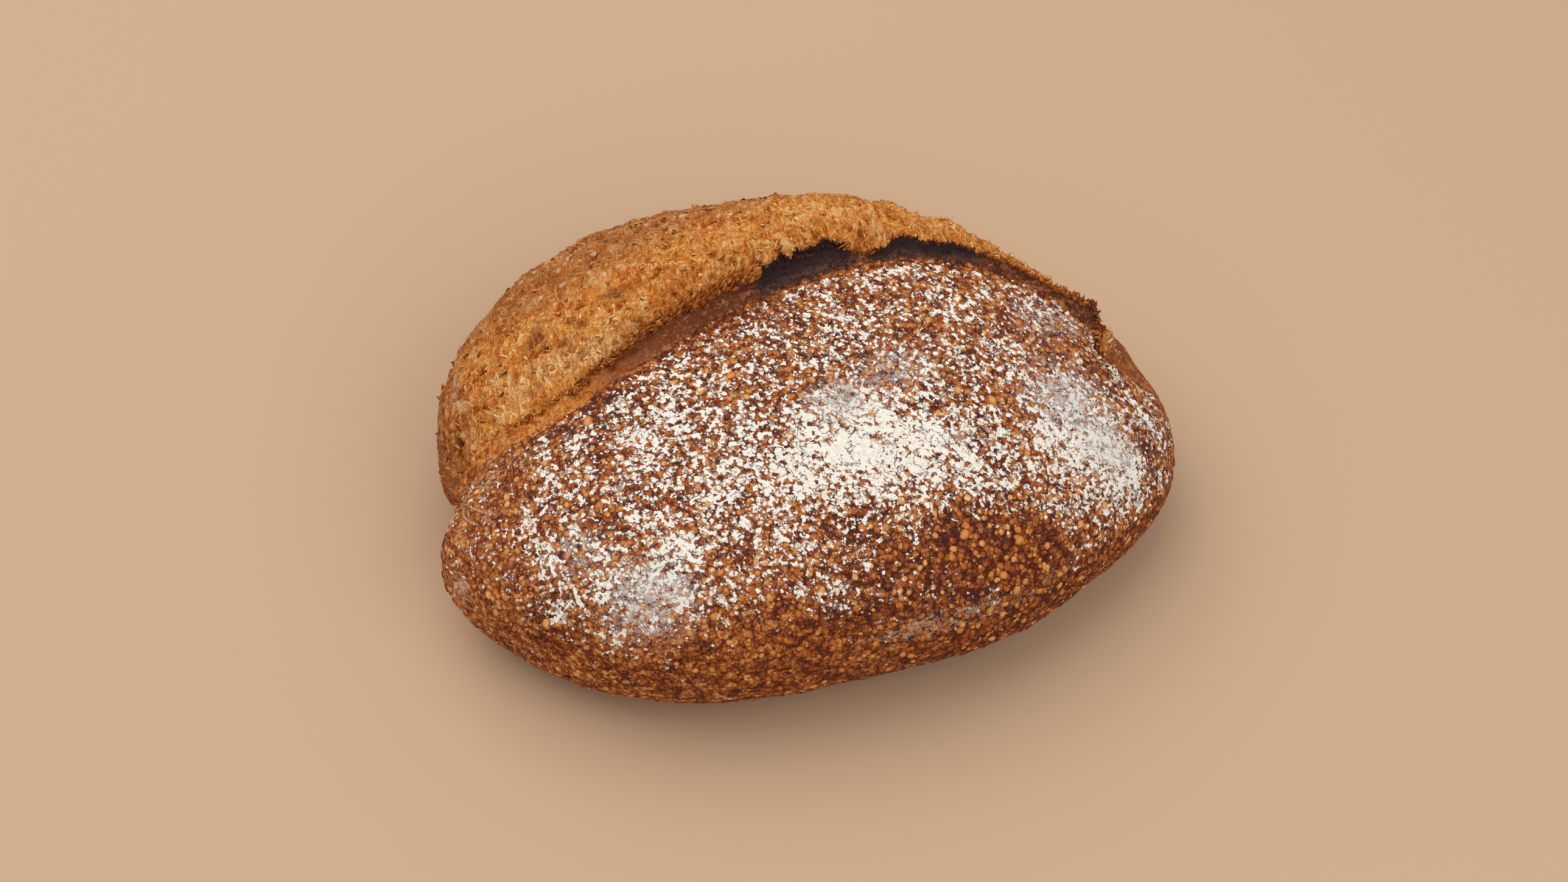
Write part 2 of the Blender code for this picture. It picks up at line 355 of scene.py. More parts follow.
# %% Put every vertex in its place
FRONT_BUNCHING = 1.0
BACK_BUNCHING = 0.88
BACK_SIDE_SHARE = 22.0 / 26.0


def turn_to_slash(in_base, share, station, bunching):
    """The angle from straight down, 0, to the slash, 180."""
    rim_turn = 90.0 - station.rim
    return np.where(in_base, rim_turn * share, rim_turn + (180.0 - rim_turn) * share**bunching)


def place(at):
    """Moves every vertex to the plain dough, and notes the slash beside it and how far behind it lies."""
    station = Station(at.along)
    share = at.share[:, None]
    slash = dough(station, np.full(at.along.shape, math.pi / 2.0))
    root = valley_root(station)
    tip_of_ear = ear_tip(station)
    crest = ear_top(station, tip_of_ear, np.ones_like(at.share))
    thicker = (THICKER_BEHIND * station.lift * np.sin(math.pi * at.share))[:, None] * leaning_back(station)
    to_front = turn_to_slash(at.zone == "front_base", at.share, station, FRONT_BUNCHING)
    from_back = turn_to_slash(at.zone == "back_base", 1.0 - at.share, station, BACK_BUNCHING)
    back = dough(station, np.radians(from_back - 90.0))
    fade = 1.0 - smooth(np.linalg.norm(back - slash, axis=-1) / VALLEY_REACH)
    rim = dough(station, np.radians(-station.rim))
    front = dough(station, np.radians(270.0 - to_front))
    places = {
        "front_base": front,
        "front": front,
        "ear": slash + ear_top(station, tip_of_ear, at.share),
        "wall": slash + crest + (root - crest) * share + thicker,
        "back": back + root * fade[:, None],
        "back_base": back + root * fade[:, None],
        "inside": rim + (slash + root - rim) * share,
    }
    at.points = np.zeros((len(at.along), 3))
    for name, points in places.items():
        at.points[at.zone == name] = points[at.zone == name]
    at.slash = slash
    at.behind = np.where(at.zone == "back", at.share * BACK_SIDE_SHARE, 0.0)
    at.behind[at.zone == "back_base"] = 1.0
    at.behind[at.zone == "inside"] = 1.0


def pinch(at):
    """Draws the two ends in, bulges the lobe, and sinks the crease that runs from the ends."""
    points = at.points
    for side, depth in ((-1.0, LEFT_PINCH), (1.0, RIGHT_PINCH)):
        end = np.array([side * LENGTH / 2.0, SLASH_END_Y, BELLY_HEIGHT - BELLY_DROP])
        away = np.linalg.norm(points - end, axis=-1)
        points[:, 0] -= side * depth * np.exp(-((away / PINCH_REACH) ** 2))
    away = np.linalg.norm(points - np.array(LOBE_CENTRE), axis=-1)
    points[:, 0] -= LOBE_BULGE * np.exp(-((away / LOBE_REACH) ** 2))
    reach = np.linalg.norm(points - at.slash, axis=-1)
    crease = profile(at.along, CREASE_DEPTHS) * np.exp(-((reach / CREASE_REACH) ** 2))
    points[:, 2] -= crease * rising(points[:, 2], *CREASE_ABOVE)


for at in SURFACES:
    place(at)
    pinch(at)
    set_points(at.piece.data, at.points)
    at.normals = read_vectors(at.piece.data, normals=True)


def both(name):
    return np.concatenate([getattr(at, name) for at in SURFACES])


def off_centre():
    """How far the middle of both meshes is from the middle of the frame's box, level only."""
    points = both("points")
    return ((points.min(axis=0) + points.max(axis=0)) / 2.0 - LOAF_BOX.mean(axis=0)) * (1.0, 1.0, 0.0)


SHIFT = off_centre()
print("the plain dough's middle is off by", np.round(SHIFT * TO_MM, 2).tolist(), "mm")

# %% [markdown]
# ## Where things are on the loaf
# Nearly everything that follows depends on where a point lies: on the floured skin, on the ear, on the torn
# crumb, near an end or near the base. Places on the loaf are given in metres, as x, y and z in the frame.
# Each rise below is a start and a width: a share along the loaf, behind the slash or over the ear, or, for
# the browner crumb far off, metres from the slash.

# %% Fields over the surface
LEFT_NECK = (-0.1310, -0.010, 0.050)
SEAM_RIGHT = ((0.1185, -0.0041, 0.0632), (0.1245, -0.0188, 0.0576), (0.1321, -0.0302, 0.0476))
SEAM_LEFT = (
    (-0.1275, 0.0480, 0.0565), (-0.1302, 0.0286, 0.0592), (-0.1291, 0.0228, 0.0617),
    (-0.1265, 0.0180, 0.0640),
)
TORN_FROM_LEFT = (-1.06, 0.15)
WHOLE_AT_RIGHT = (0.80, 0.16)
WHOLE_BEHIND = (0.36, 0.30)
TORN_OVER_EAR = (0.35, 0.40)
EAR_WHOLE_FROM = (-0.70, 0.20)
BROWNER_FAR_OFF = (0.028, 0.045)
BROWNER_AT_LEFT = (0.80, 0.14)


def blob(at, centre, reach):
    """1 at a place, fading to 0 at about twice its reach."""
    return np.exp(-(((at.spots - np.array(centre)) / np.array(reach)) ** 2).sum(axis=1))


def near_line(at, line, width):
    """1 on a line of places, fading to 0 at about twice its width."""
    nearest = np.full(len(at.spots), 1.0)
    for start, end in zip(line[:-1], line[1:]):
        start = np.array(start)
        step = np.array(end) - start
        share = np.clip((at.spots - start) @ step / (step @ step), 0.0, 1.0)
        nearest = np.minimum(nearest, np.linalg.norm(at.spots - start - share[:, None] * step, axis=1))
    return np.exp(-((nearest / width) ** 2))


def note_fields(at):
    at.spots = at.points - SHIFT
    at.reach = np.linalg.norm(at.points - at.slash, axis=-1)
    at.on_front = np.isin(at.zone, ("front", "front_base")).astype(float)
    at.on_ear = np.isin(at.zone, ("ear", "wall")).astype(float)
    at.on_back = 1.0 - at.on_front - at.on_ear
    ends = rising(at.along, *TORN_FROM_LEFT) * (1.0 - rising(at.along, *WHOLE_AT_RIGHT))
    at.torn = at.on_back * (1.0 - rising(at.behind, *WHOLE_BEHIND)) * ends
    on_flat_strip = np.where(at.zone == "ear", rising(at.share, *TORN_OVER_EAR), at.on_ear)
    at.torn = at.torn + on_flat_strip * (1.0 - rising(at.along, *EAR_WHOLE_FROM)) * ends
    at.across = np.where(at.on_front > 0.5, -at.reach, np.where(at.on_ear > 0.5, at.reach, -1.0))
    from_neck = at.spots - np.array(LEFT_NECK)
    at.neck_reach = np.linalg.norm(from_neck, axis=-1)
    at.neck_angle = np.arctan2(from_neck[:, 1], from_neck[:, 2])
    at_left_end = rising(-at.along, *BROWNER_AT_LEFT)
    at.outer = np.maximum(rising(at.reach, *BROWNER_FAR_OFF), at_left_end) * at.on_back


for at in SURFACES:
    note_fields(at)
print("torn crumb on", int((bloom.torn > 0.5).sum()), "of", len(bloom.torn), "vertices of the bloom")

# %% [markdown]
# ## Relief of the skin
# The skin has slow swells, small puckers, and pleats that gather at the left end like the neck of a bag. A
# crease runs above the base at the right, where the dough slumped over its rim. The outline steps in at the
# left end and between the ear's right end and the bloom's right lobe: each dent is a place, its half widths
# and a depth along the loaf, which is below 0 for a bulge.

# %% Skin relief
PEBBLE_SIZE = 0.0032
PEBBLE_HEIGHT = 0.00045
PUCKER_SIZE = 0.012
PUCKER_HEIGHT = 0.00065
PLEATS = 11.0
PLEAT_HEIGHT = 0.0010
PLEAT_REACH = 0.026
PLEAT_START = 0.008
PLEAT_WANDER = 2.4
PLEAT_WANDER_SIZE = 0.016
HOLE_PLACE = (-0.1320, -0.0066, 0.0529)
HOLE_SIZE = (0.0060, 0.0020, 0.0030)
HOLE_DEPTH = 0.0045
SKIRT_HEIGHT = 0.011
SKIRT_DEPTH = 0.0012
SKIRT_THICKNESS = 0.0028
SKIRT_LUMPS = 0.02
SKIRT_FROM = (-0.2, 0.4)
GROOVE_WIDTH = 0.0012
GROOVE_DEPTH = 0.0006
WELT_WIDTH = 0.0008
WELT_HEIGHT = 0.0004
HIDDEN_SINK = 0.0030
END_DENTS = (
    ((0.1260, 0.0060, 0.0540), (0.0110, 0.0085, 0.0170), 0.0095),
    ((-0.1380, -0.0050, 0.0480), (0.0110, 0.0085, 0.0150), 0.0045),
    ((-0.1345, -0.0150, 0.0530), (0.0080, 0.0050, 0.0100), 0.0025),
    ((-0.1400, -0.0300, 0.0450), (0.0100, 0.0085, 0.0130), -0.0020),
    ((-0.1400, 0.0130, 0.0470), (0.0120, 0.0080, 0.0120), 0.0020),
)
STRIP_SIZE = 0.0030
STRIP_HEIGHT = 0.00075


def skin_relief(at):
    relief = PEBBLE_HEIGHT * (1.0 - at.torn) * rough_noise_of(at.points, PEBBLE_SIZE, 3, 3.0)
    relief = relief + STRIP_HEIGHT * at.on_ear * rough_noise_of(at.points, STRIP_SIZE, 3, 6.0)
    relief = relief + PUCKER_HEIGHT * at.on_front * noise_of(at.points, PUCKER_SIZE, 5.0)
    pleat = np.sin(at.neck_angle * PLEATS + PLEAT_WANDER * noise_of(at.points, PLEAT_WANDER_SIZE, 2.0))
    near_neck = np.exp(-at.neck_reach / PLEAT_REACH) * smooth(at.neck_reach / PLEAT_START)
    relief = relief + PLEAT_HEIGHT * pleat * near_neck * (1.0 - at.torn)
    relief = relief - HOLE_DEPTH * blob(at, HOLE_PLACE, HOLE_SIZE)
    at_skirt = np.exp(-(((at.spots[:, 2] - SKIRT_HEIGHT) / SKIRT_THICKNESS) ** 2))
    at_skirt = at_skirt * rising(at.along, *SKIRT_FROM) * at.on_front
    relief = relief - SKIRT_DEPTH * at_skirt * 0.5 * (1.0 + noise_of(at.points, SKIRT_LUMPS, 8.0))
    relief = relief - GROOVE_DEPTH * near_line(at, SEAM_RIGHT, GROOVE_WIDTH)
    return relief + WELT_HEIGHT * near_line(at, SEAM_LEFT, WELT_WIDTH)


def dent_ends(at):
    """Moves the surface along the loaf, towards its middle, where the outline steps in."""
    inward = sum(depth * blob(at, centre, size) for centre, size, depth in END_DENTS)
    at.points[:, 0] -= np.sign(at.spots[:, 0]) * inward


# %% [markdown]
# ## Relief of the torn crumb
# The crumb tore while it was soft, so it is cragged and drawn out in strands across the slash. At the left
# it opened into pockets: each is the place of its sharp rim, the way it opens, and its width, length and
# depth. Small round pits are bubbles that were cut through. Noise that is squeezed one way and stretched the
# other gives the strands, and noise whose places sway gives the curls.

# %% Crumb relief
STRAND_WIDTH = 0.0015
STRAND_LENGTH = 0.0075
STRAND_HEIGHT = 0.00085
FLAKE_SIZE = 0.0028
FLAKE_HEIGHT = 0.00060
RIDGE_SIZE = 0.0090
RIDGE_HEIGHT = 0.0017
CURL_SIZE = 0.0036
CURL_SWAY = 0.0030
CURL_HEIGHT = 0.0013
SWAY_SIZE = 0.006
SWAY_SHIFTS = (11.0, 12.0, 13.0)
RIDGE_LEVEL = 0.35
CURL_LEVEL = 0.30
NEAR_EAR = 0.030
POCKETS = (
    ((-0.0985, 0.0390, 0.0785), (0.80, -0.60, 0.0), 0.0075, 0.0075, 0.0058),
    ((-0.0885, 0.0310, 0.0835), (0.50, -0.85, 0.0), 0.0040, 0.0060, 0.0040),
    ((-0.0645, 0.0480, 0.0880), (0.10, -1.00, 0.0), 0.0062, 0.0050, 0.0046),
    ((-0.0800, 0.0360, 0.0860), (0.30, -0.95, 0.0), 0.0028, 0.0050, 0.0026),
    ((-0.1110, 0.0250, 0.0730), (0.70, -0.70, 0.0), 0.0030, 0.0040, 0.0022),
    ((-0.0575, 0.0300, 0.0900), (0.00, -1.00, 0.0), 0.0022, 0.0080, 0.0018),
    ((-0.0505, 0.0290, 0.0910), (0.10, -1.00, 0.0), 0.0018, 0.0080, 0.0016),
)
RIM_SHARPNESS = 0.0014
RIM_SHADE = 0.0013
RIM_DARKNESS = 2.5
PITS = 170
PIT_SIZES = (0.0008, 0.0024)
PIT_DEPTH = 0.8
PIT_LIP = 0.2
PIT_LIP_PLACE = 1.25
PIT_LIP_WIDTH = 0.3
PITS_NEAR_SLASH = 0.020
PITS_TO_LEFT = (-0.4, 0.9)


def pocket(at, rim, opens, width, length, depth):
    """A hollow with a sharp rim, that rises again along the way it opens."""
    opens = np.array(opens) / np.linalg.norm(opens)
    from_rim = at.spots - np.array(rim)
    down = from_rim @ opens
    aside = np.linalg.norm(from_rim - down[:, None] * opens, axis=1)
    fall = smooth(down / RIM_SHARPNESS) * np.exp(-np.maximum(down, 0.0) / length)
    return depth * fall * np.exp(-((aside / width) ** 2))


def pits(at, draw):
    """Round bubbles that were cut through, most of them near the slash and at the left."""
    weight = at.torn * np.exp(-at.reach / PITS_NEAR_SLASH) * rising(-at.along, *PITS_TO_LEFT)
    relief = np.zeros(len(at.spots))
    for number in draw.choice(len(weight), PITS, p=weight / weight.sum()):
        size = draw.uniform(*PIT_SIZES)
        away = np.linalg.norm(at.spots - at.spots[number], axis=1) / size
        lip = PIT_LIP * size * np.exp(-(((away - PIT_LIP_PLACE) / PIT_LIP_WIDTH) ** 2))
        relief = relief - PIT_DEPTH * size * np.exp(-(away**4)) + lip
    return relief


def crumb_relief(at):
    ridges = RIDGE_LEVEL - np.abs(rough_noise_of(at.points, RIDGE_SIZE, 3, 1.0))
    drawn = np.stack([at.points[:, 0] / STRAND_WIDTH, at.reach / STRAND_LENGTH, 0.0 * at.reach], -1)
    strands = RIDGE_LEVEL - np.abs(rough_noise_of(drawn, 1.0, 2))
    sway = np.stack([noise_of(at.points, SWAY_SIZE, shift) for shift in SWAY_SHIFTS], -1)
    curls = CURL_LEVEL - np.abs(noise_of(at.points + CURL_SWAY * sway, CURL_SIZE, 2.0))
    near_ear = np.exp(-at.reach / NEAR_EAR)
    relief = RIDGE_HEIGHT * ridges * (0.5 + 0.5 * near_ear) + STRAND_HEIGHT * strands * 2.0 * near_ear
    relief = relief + CURL_HEIGHT * curls
    return relief + FLAKE_HEIGHT * rough_noise_of(at.points, FLAKE_SIZE, 3, 7.0)


# %% Apply the relief and centre the loaf on the frame's box
RELIEF_ABOVE = 0.015
CRUMB_RISE = 0.06
HIDDEN_RISE = 0.05


def apply_relief(at):
    relief = SWELL_HEIGHT * noise_of(at.points, SWELL_SIZE)
    rounder = np.sin(math.pi * np.minimum(at.behind / BLOOM_SWELL_END, 1.0))
    relief = relief + profile(at.along, BLOOM_SWELLS) * rounder
    torn = at.torn * smooth(at.behind / CRUMB_RISE)
    relief = relief + CRAG_HEIGHT * torn * noise_of(at.points, CRAG_SIZE)
    fine = skin_relief(at)
    if at is bloom:
        fine = fine + torn * (crumb_relief(at) + pits(at, RANDOM))
        for listed in POCKETS:
            relief = relief - pocket(at, *listed)
    else:
        fine = fine - HIDDEN_SINK * at.on_back * smooth(at.behind / HIDDEN_RISE)
    at.fine = fine
    relief = (relief + fine) * smooth(at.points[:, 2] / RELIEF_ABOVE) * ~np.isin(at.zone, ("inside", "wall"))
    # pit marks the hole at the left end, which the crust's material fills with painted shade.
    at.pit = blob(at, HOLE_PLACE, HOLE_SIZE)
    at.hollow = sum(pocket(at, *listed[:4], 1.0) for listed in POCKETS) * at.torn
    at.shade = sum(pocket(at, *listed[:3], RIM_SHADE, RIM_DARKNESS) for listed in POCKETS) * at.torn
    at.points = at.spots + at.normals * relief[:, None]
    dent_ends(at)
    at.points[:, 2] = np.maximum(at.points[:, 2], 0.0)


for at in SURFACES:
    apply_relief(at)
LAST_SHIFT = off_centre()
for at in SURFACES:
    at.points = at.points - LAST_SHIFT
    at.spots = at.points
    set_points(at.piece.data, at.points)
    at.piece.data.shade_smooth()
    at.normals = read_vectors(at.piece.data, normals=True)
print("last shift", np.round(LAST_SHIFT * TO_MM, 2).tolist(), "mm")

# %% [markdown]
# ## Where the flour lies
# Flour was dusted from above before baking. It stays thick in the middle of the floured front and at the
# right end, is rubbed to a thin grey-white film in places, and is missing on the steep front and at the
# left. Each patch is a place seen from above, its half widths along and across, and an amount to add.

# %% Flour fields
EVEN_FLOUR = 0.40
FLOUR_PATCHES = (
    ((0.008, -0.051), (0.054, 0.020), 0.30),
    ((0.026, -0.043), (0.032, 0.015), 0.24),
    ((0.102, -0.040), (0.021, 0.021), 0.28),
    ((0.112, -0.050), (0.017, 0.014), 0.18),
    ((-0.072, -0.074), (0.026, 0.014), 0.17),
    ((-0.100, -0.048), (0.016, 0.012), 0.12),
    ((0.020, 0.008), (0.016, 0.010), 0.14),
    ((-0.052, -0.022), (0.024, 0.016), 0.14),
    ((-0.004, -0.096), (0.009, 0.005), 0.34),
    ((0.058, -0.084), (0.034, 0.010), -0.60),
    ((-0.012, -0.104), (0.060, 0.010), -0.42),
    ((-0.128, -0.035), (0.016, 0.040), -0.28),
    ((-0.105, 0.000), (0.030, 0.012), -0.20),
    ((0.118, -0.004), (0.018, 0.012), -0.20),
)
FILM_PATCHES = (
    ((0.010, -0.028), (0.014, 0.010), 0.90),
    ((0.034, -0.014), (0.014, 0.009), 0.60),
    ((0.096, -0.024), (0.016, 0.016), 0.85),
    ((0.110, -0.044), (0.014, 0.012), 0.70),
    ((-0.070, -0.083), (0.018, 0.012), 0.80),
    ((-0.095, -0.062), (0.012, 0.010), 0.45),
    ((0.098, 0.012), (0.016, 0.010), 0.55),
)
WARM_PATCHES = (
    ((-0.085, -0.090), (0.050, 0.030), 0.06),
    ((-0.130, -0.030), (0.020, 0.040), 0.12),
    ((0.030, 0.020), (0.060, 0.020), 0.05),
    ((0.055, -0.086), (0.050, 0.014), -0.18),
    ((-0.085, -0.012), (0.024, 0.008), -0.12),
)
FACING_UP = (0.10, 0.45)
LIP_FLOUR = 0.20
LIP_FLOUR_WIDTH = 0.0022
LIP_FLOUR_FROM = (-0.35, 0.2)
SEAM_FLOUR = 0.45
SEAM_FLOUR_WIDTH = 0.0014
NOTCH_FLOUR = ((-0.1360, 0.0120, 0.0500), (0.004, 0.004, 0.003))
SKIRT_LINE = 0.050
SKIRT_WIDTH = 0.0075
SKIRT_DUST = 0.7
SKIRT_DUST_FROM = (-0.15, 0.3)
LOBE_DUST = ((-0.1390, -0.0480, 0.0400), (0.006, 0.007, 0.008))


def patches(at, listed):
    """All patches added up at each vertex, seen from above."""
    total = np.zeros(len(at.spots))
    for (x, y), (along_x, along_y), amount in listed:
        away = ((at.spots[:, 0] - x) / along_x) ** 2 + ((at.spots[:, 1] - y) / along_y) ** 2
        total = total + amount * np.exp(-away)
    return total


def dust(at):
    facing_up = rising(at.normals[:, 2], *FACING_UP)
    at.flour = (EVEN_FLOUR + patches(at, FLOUR_PATCHES)) * facing_up * at.on_front
    lip = LIP_FLOUR * np.exp(-at.reach / LIP_FLOUR_WIDTH) * at.on_front * rising(at.along, *LIP_FLOUR_FROM)
    at.flour = at.flour + lip
    at.flour = at.flour + SEAM_FLOUR * near_line(at, SEAM_RIGHT, SEAM_FLOUR_WIDTH)
    at.flour = at.flour + SEAM_FLOUR * blob(at, *NOTCH_FLOUR)
    at.film = patches(at, FILM_PATCHES) * facing_up * at.on_front
    at.warmth = patches(at, WARM_PATCHES)
    at.skirt = np.exp(-(((at.spots[:, 2] - SKIRT_LINE) / SKIRT_WIDTH) ** 2)) * at.on_front
    at.skirt = at.skirt * rising(at.along, *SKIRT_DUST_FROM) * (1.0 - facing_up**3) * SKIRT_DUST
    at.skirt = at.skirt + blob(at, *LOBE_DUST)


for at in SURFACES:
    dust(at)
print("mean flour on the front:", round(float(skin.flour[skin.zone == "front"].mean()), 2))

# %% [markdown]
# ## Numbers that the materials read
# The fields go into the meshes as attributes. Two of them are directions rather than amounts: the grain is
# the distance along and away from the slash, and the pleats are the angle and distance round the pinched
# end. Materials use them to draw strands and streaks that follow the form.

# %% Attributes
BURNS = (
    (-1.0, 0.05), (-0.66, 0.10), (-0.44, 0.40), (-0.14, 0.50), (-0.06, 1.0), (0.15, 1.0), (0.19, 0.60),
    (0.24, 0.95), (0.45, 1.0), (0.56, 0.62), (0.76, 0.58), (0.84, 0.8), (0.90, 0.3), (1.0, 0.2),
)
WEB_PLACES = (
    ((-0.094, 0.017, 0.080), (0.014, 0.009, 0.020)),
    ((-0.070, 0.020, 0.088), (0.014, 0.009, 0.020)),
    ((-0.110, 0.008, 0.073), (0.009, 0.006, 0.020)),
)
LOW_ON_THE_LOAF = (0.004, 0.026)
PALE_SEAM_WIDTH = 0.0012
PLEAT_SPAN = 0.02


def write_attributes(mesh, fields):
    for name, values in fields.items():
        kind = "FLOAT" if values.ndim == 1 else "FLOAT_VECTOR"
        slot = mesh.attributes.new(name, kind, "POINT")
        slot.data.foreach_set("value" if values.ndim == 1 else "vector", values.astype(np.float32).ravel())


def write_fields(at):
    flat = np.zeros(len(at.spots))
    webs = sum(blob(at, centre, size) for centre, size in WEB_PLACES)
    write_attributes(at.piece.data, {
        "flour": at.flour, "film": at.film, "warmth": at.warmth, "torn": at.torn, "outer": at.outer,
        "burn": profile(at.along, BURNS), "webs": webs * at.torn, "on_back": at.on_back,
        "across": at.across * TO_MM, "skirt": at.skirt, "hollow": at.hollow, "shade": at.shade,
        "edge": np.where(at.zone == "ear", at.share, at.on_ear),
        "wall": np.where(at.zone == "wall", at.share, 0.0),
        "low": 1.0 - rising(at.spots[:, 2], *LOW_ON_THE_LOAF),
        "pit": at.pit,
        "near_neck": np.exp(-at.neck_reach / PLEAT_REACH),
        "height": at.fine * TO_MM,
        "seam": near_line(at, SEAM_LEFT, PALE_SEAM_WIDTH),
        "grain": np.stack([at.spots[:, 0], at.reach, flat], -1),
        "pleats": np.stack([at.neck_angle * PLEAT_SPAN, at.neck_reach, flat], -1),
    })


for at in SURFACES:
    write_fields(at)
print("attributes:", len(skin.piece.data.attributes))

# %% [markdown]
# ## Shader maths as plain expressions
# Node trees for crust are long sums and products. A small class wraps one output of a node, so that the
# usual operators add the Math nodes and the material reads like the formula it is. Every other node comes
# from one method: its type, its settings first, then its sockets.

# %% The wrapper
class Value:
    """One output of a node."""

    def __init__(self, paint, socket):
        self.paint = paint
        self.socket = socket

    def output(self, number):
        return Value(self.paint, self.socket.node.outputs[number])

    def __add__(self, other):
        return self.paint.math("ADD", self, other)

    def __sub__(self, other):
        return self.paint.math("SUBTRACT", self, other)

    def __rsub__(self, other):
        return self.paint.math("SUBTRACT", other, self)

    def __mul__(self, other):
        return self.paint.math("MULTIPLY", self, other)

    def __truediv__(self, other):
        return self.paint.math("DIVIDE", self, other)

    def __abs__(self):
        return self.paint.math("ABSOLUTE", self, 0.0)

    __radd__ = __add__
    __rmul__ = __mul__


# %% The paint box
def linear(red, green, blue):
    """A colour as a screen shows it, 0 to 255, turned into the light it stands for."""
    shown = np.array([red, green, blue]) / 255.0
    light = np.where(shown <= 0.04045, shown / 12.92, ((shown + 0.055) / 1.055) ** 2.4)
    return (*light.tolist(), 1.0)


def tones(*stops):
    """A ramp's stops: each is a position from 0 to 1 and a colour as a screen shows it."""
    return tuple((position, linear(*colour)) for position, *colour in stops)


class Paint:
    """A material whose nodes are added by expressions."""

    def __init__(self, name, roughness=0.85):
        self.material = bpy.data.materials.new(name)
        self.material.use_nodes = True
        self.tree = self.material.node_tree
        self.shader = self.tree.nodes["Principled BSDF"]
        self.shader.inputs["Roughness"].default_value = roughness
        self.shader.inputs["Specular IOR Level"].default_value = 0.25
        self.place = self.node("ShaderNodeTexCoord", output=3)

    def node(self, kind, settings=None, inputs=None, output=0):
        made = self.tree.nodes.new(kind)
        for name, setting in (settings or {}).items():
            if name == "stops":
                self.set_stops(made.color_ramp, setting)
            else:
                setattr(made, name, setting)
        for name, value in (inputs or {}).items():
            self.feed(made.inputs[name], value)
        return Value(self, made.outputs[output])

    def set_stops(self, ramp, stops):
        while len(ramp.elements) < len(stops):
            ramp.elements.new(0.5)
        for element, (position, colour) in zip(ramp.elements, stops):
            element.position = position
            element.color = colour

    def feed(self, socket, value):
        if isinstance(value, Value):
            self.tree.links.new(value.socket, socket)
        else:
            socket.default_value = value

    def math(self, operation, first, second):
        return self.node("ShaderNodeMath", {"operation": operation}, {0: first, 1: second})

    def field(self, name):
        return self.node("ShaderNodeAttribute", {"attribute_name": name}, output=2)

    def direction(self, name):
        return self.node("ShaderNodeAttribute", {"attribute_name": name}, output=1)

    def between(self, value, low, high):
        """0 below the first number and 1 above the second, eased."""
        return self.node(
            "ShaderNodeMapRange", {"interpolation_type": "SMOOTHSTEP"},
            {"Value": value, "From Min": low, "From Max": high},
        )

    def stretched(self, vector, scales, shift=(0.0, 0.0, 0.0)):
        scaled = self.node("ShaderNodeVectorMath", {"operation": "MULTIPLY"}, {0: vector, 1: scales})
        return self.node("ShaderNodeVectorMath", {"operation": "ADD"}, {0: scaled, 1: shift})

    def turned(self, vector, degrees, scales):
        """The coordinates of a frame that is turned about Z and stretched by those scales."""
        sockets = {"Vector": vector, "Rotation": (0.0, 0.0, math.radians(degrees)), "Scale": scales}
        return self.node("ShaderNodeMapping", {"vector_type": "TEXTURE"}, sockets)

    def noise(self, size, detail=3.0, roughness=0.55, distortion=0.0, where=None, shift=0.0):
        """Noise from 0 to 1 with lumps of about that size in metres."""
        where = self.stretched(where or self.place, (1.0 / size,) * 3, (shift,) * 3)
        sockets = {"Vector": where, "Scale": 1.0, "Detail": detail, "Roughness": roughness}
        return self.node("ShaderNodeTexNoise", None, {**sockets, "Distortion": distortion})

    def cells(self, size, where=None, shift=0.0):
        """Distances in cells of about that size. Output 1 is a random colour for each cell."""
        where = self.stretched(where or self.place, (1.0 / size,) * 3, (shift,) * 3)
        return self.node("ShaderNodeTexVoronoi", {"feature": "F1"}, {"Vector": where, "Scale": 1.0})

    def chance(self, cells):
        return self.node("ShaderNodeSeparateColor", None, {0: cells.output(1)})

    def mix(self, share, first, second):
        sockets = {0: share, 6: first, 7: second}
        return self.node("ShaderNodeMix", {"data_type": "RGBA"}, sockets, output=2)

    def ramp(self, value, stops):
        return self.node("ShaderNodeValToRGB", {"stops": stops}, {0: value})

    def finish(self, colour, height, depth, roughness=None):
        """Sets the colour, the roughness, and relief from 0 to 1 that stands for that depth in metres."""
        self.feed(self.shader.inputs["Base Color"], colour)
        bump = self.node("ShaderNodeBump", None, {"Height": height, "Distance": depth, "Strength": 1.0})
        self.feed(self.shader.inputs["Normal"], bump)
        if roughness is not None:
            self.feed(self.shader.inputs["Roughness"], roughness)
        return self.material


# %% [markdown]
# ## The baked skin
# Under the flour the skin is a mosaic of tiny blisters, each with a tone of its own: gold, orange or
# chestnut, with dark brown between them. Cell noise draws that mosaic at two sizes. The larger round
# blisters that stand up from it are meshes, further down.

# %% Skin
SKIN_TONES = tones(
    (0.12, 76, 25, 6), (0.30, 116, 48, 12), (0.48, 158, 82, 26), (0.66, 190, 114, 48), (0.88, 218, 162, 102),
)
SKIN_PATCHES = 0.022
SKIN_GRAIN = 0.0014
SKIN_BLISTERS = 0.0024
SKIN_BEADS = 0.0012


def skin_paint(paint):
    """The skin's colour and height before any flour."""
    broad = paint.noise(SKIN_PATCHES, 2.0)
    fine = paint.noise(SKIN_GRAIN, 4.0, 0.62)
    blisters = paint.cells(SKIN_BLISTERS)
    beads = paint.cells(SKIN_BEADS, shift=5.0)
    gaps = paint.between(blisters, 0.42, 0.66)
    bead_gaps = paint.between(beads, 0.44, 0.68)
    tone = paint.chance(blisters) * 0.44 + paint.chance(beads) * 0.22 + fine * 0.90 + broad * 0.40
    tone = tone - gaps * 0.20 - bead_gaps * 0.10 + paint.field("warmth") - 0.45
    height = (1.0 - gaps) * 0.45 + (1.0 - bead_gaps) * 0.2 + fine * 0.35
    return paint.ramp(tone, SKIN_TONES), height


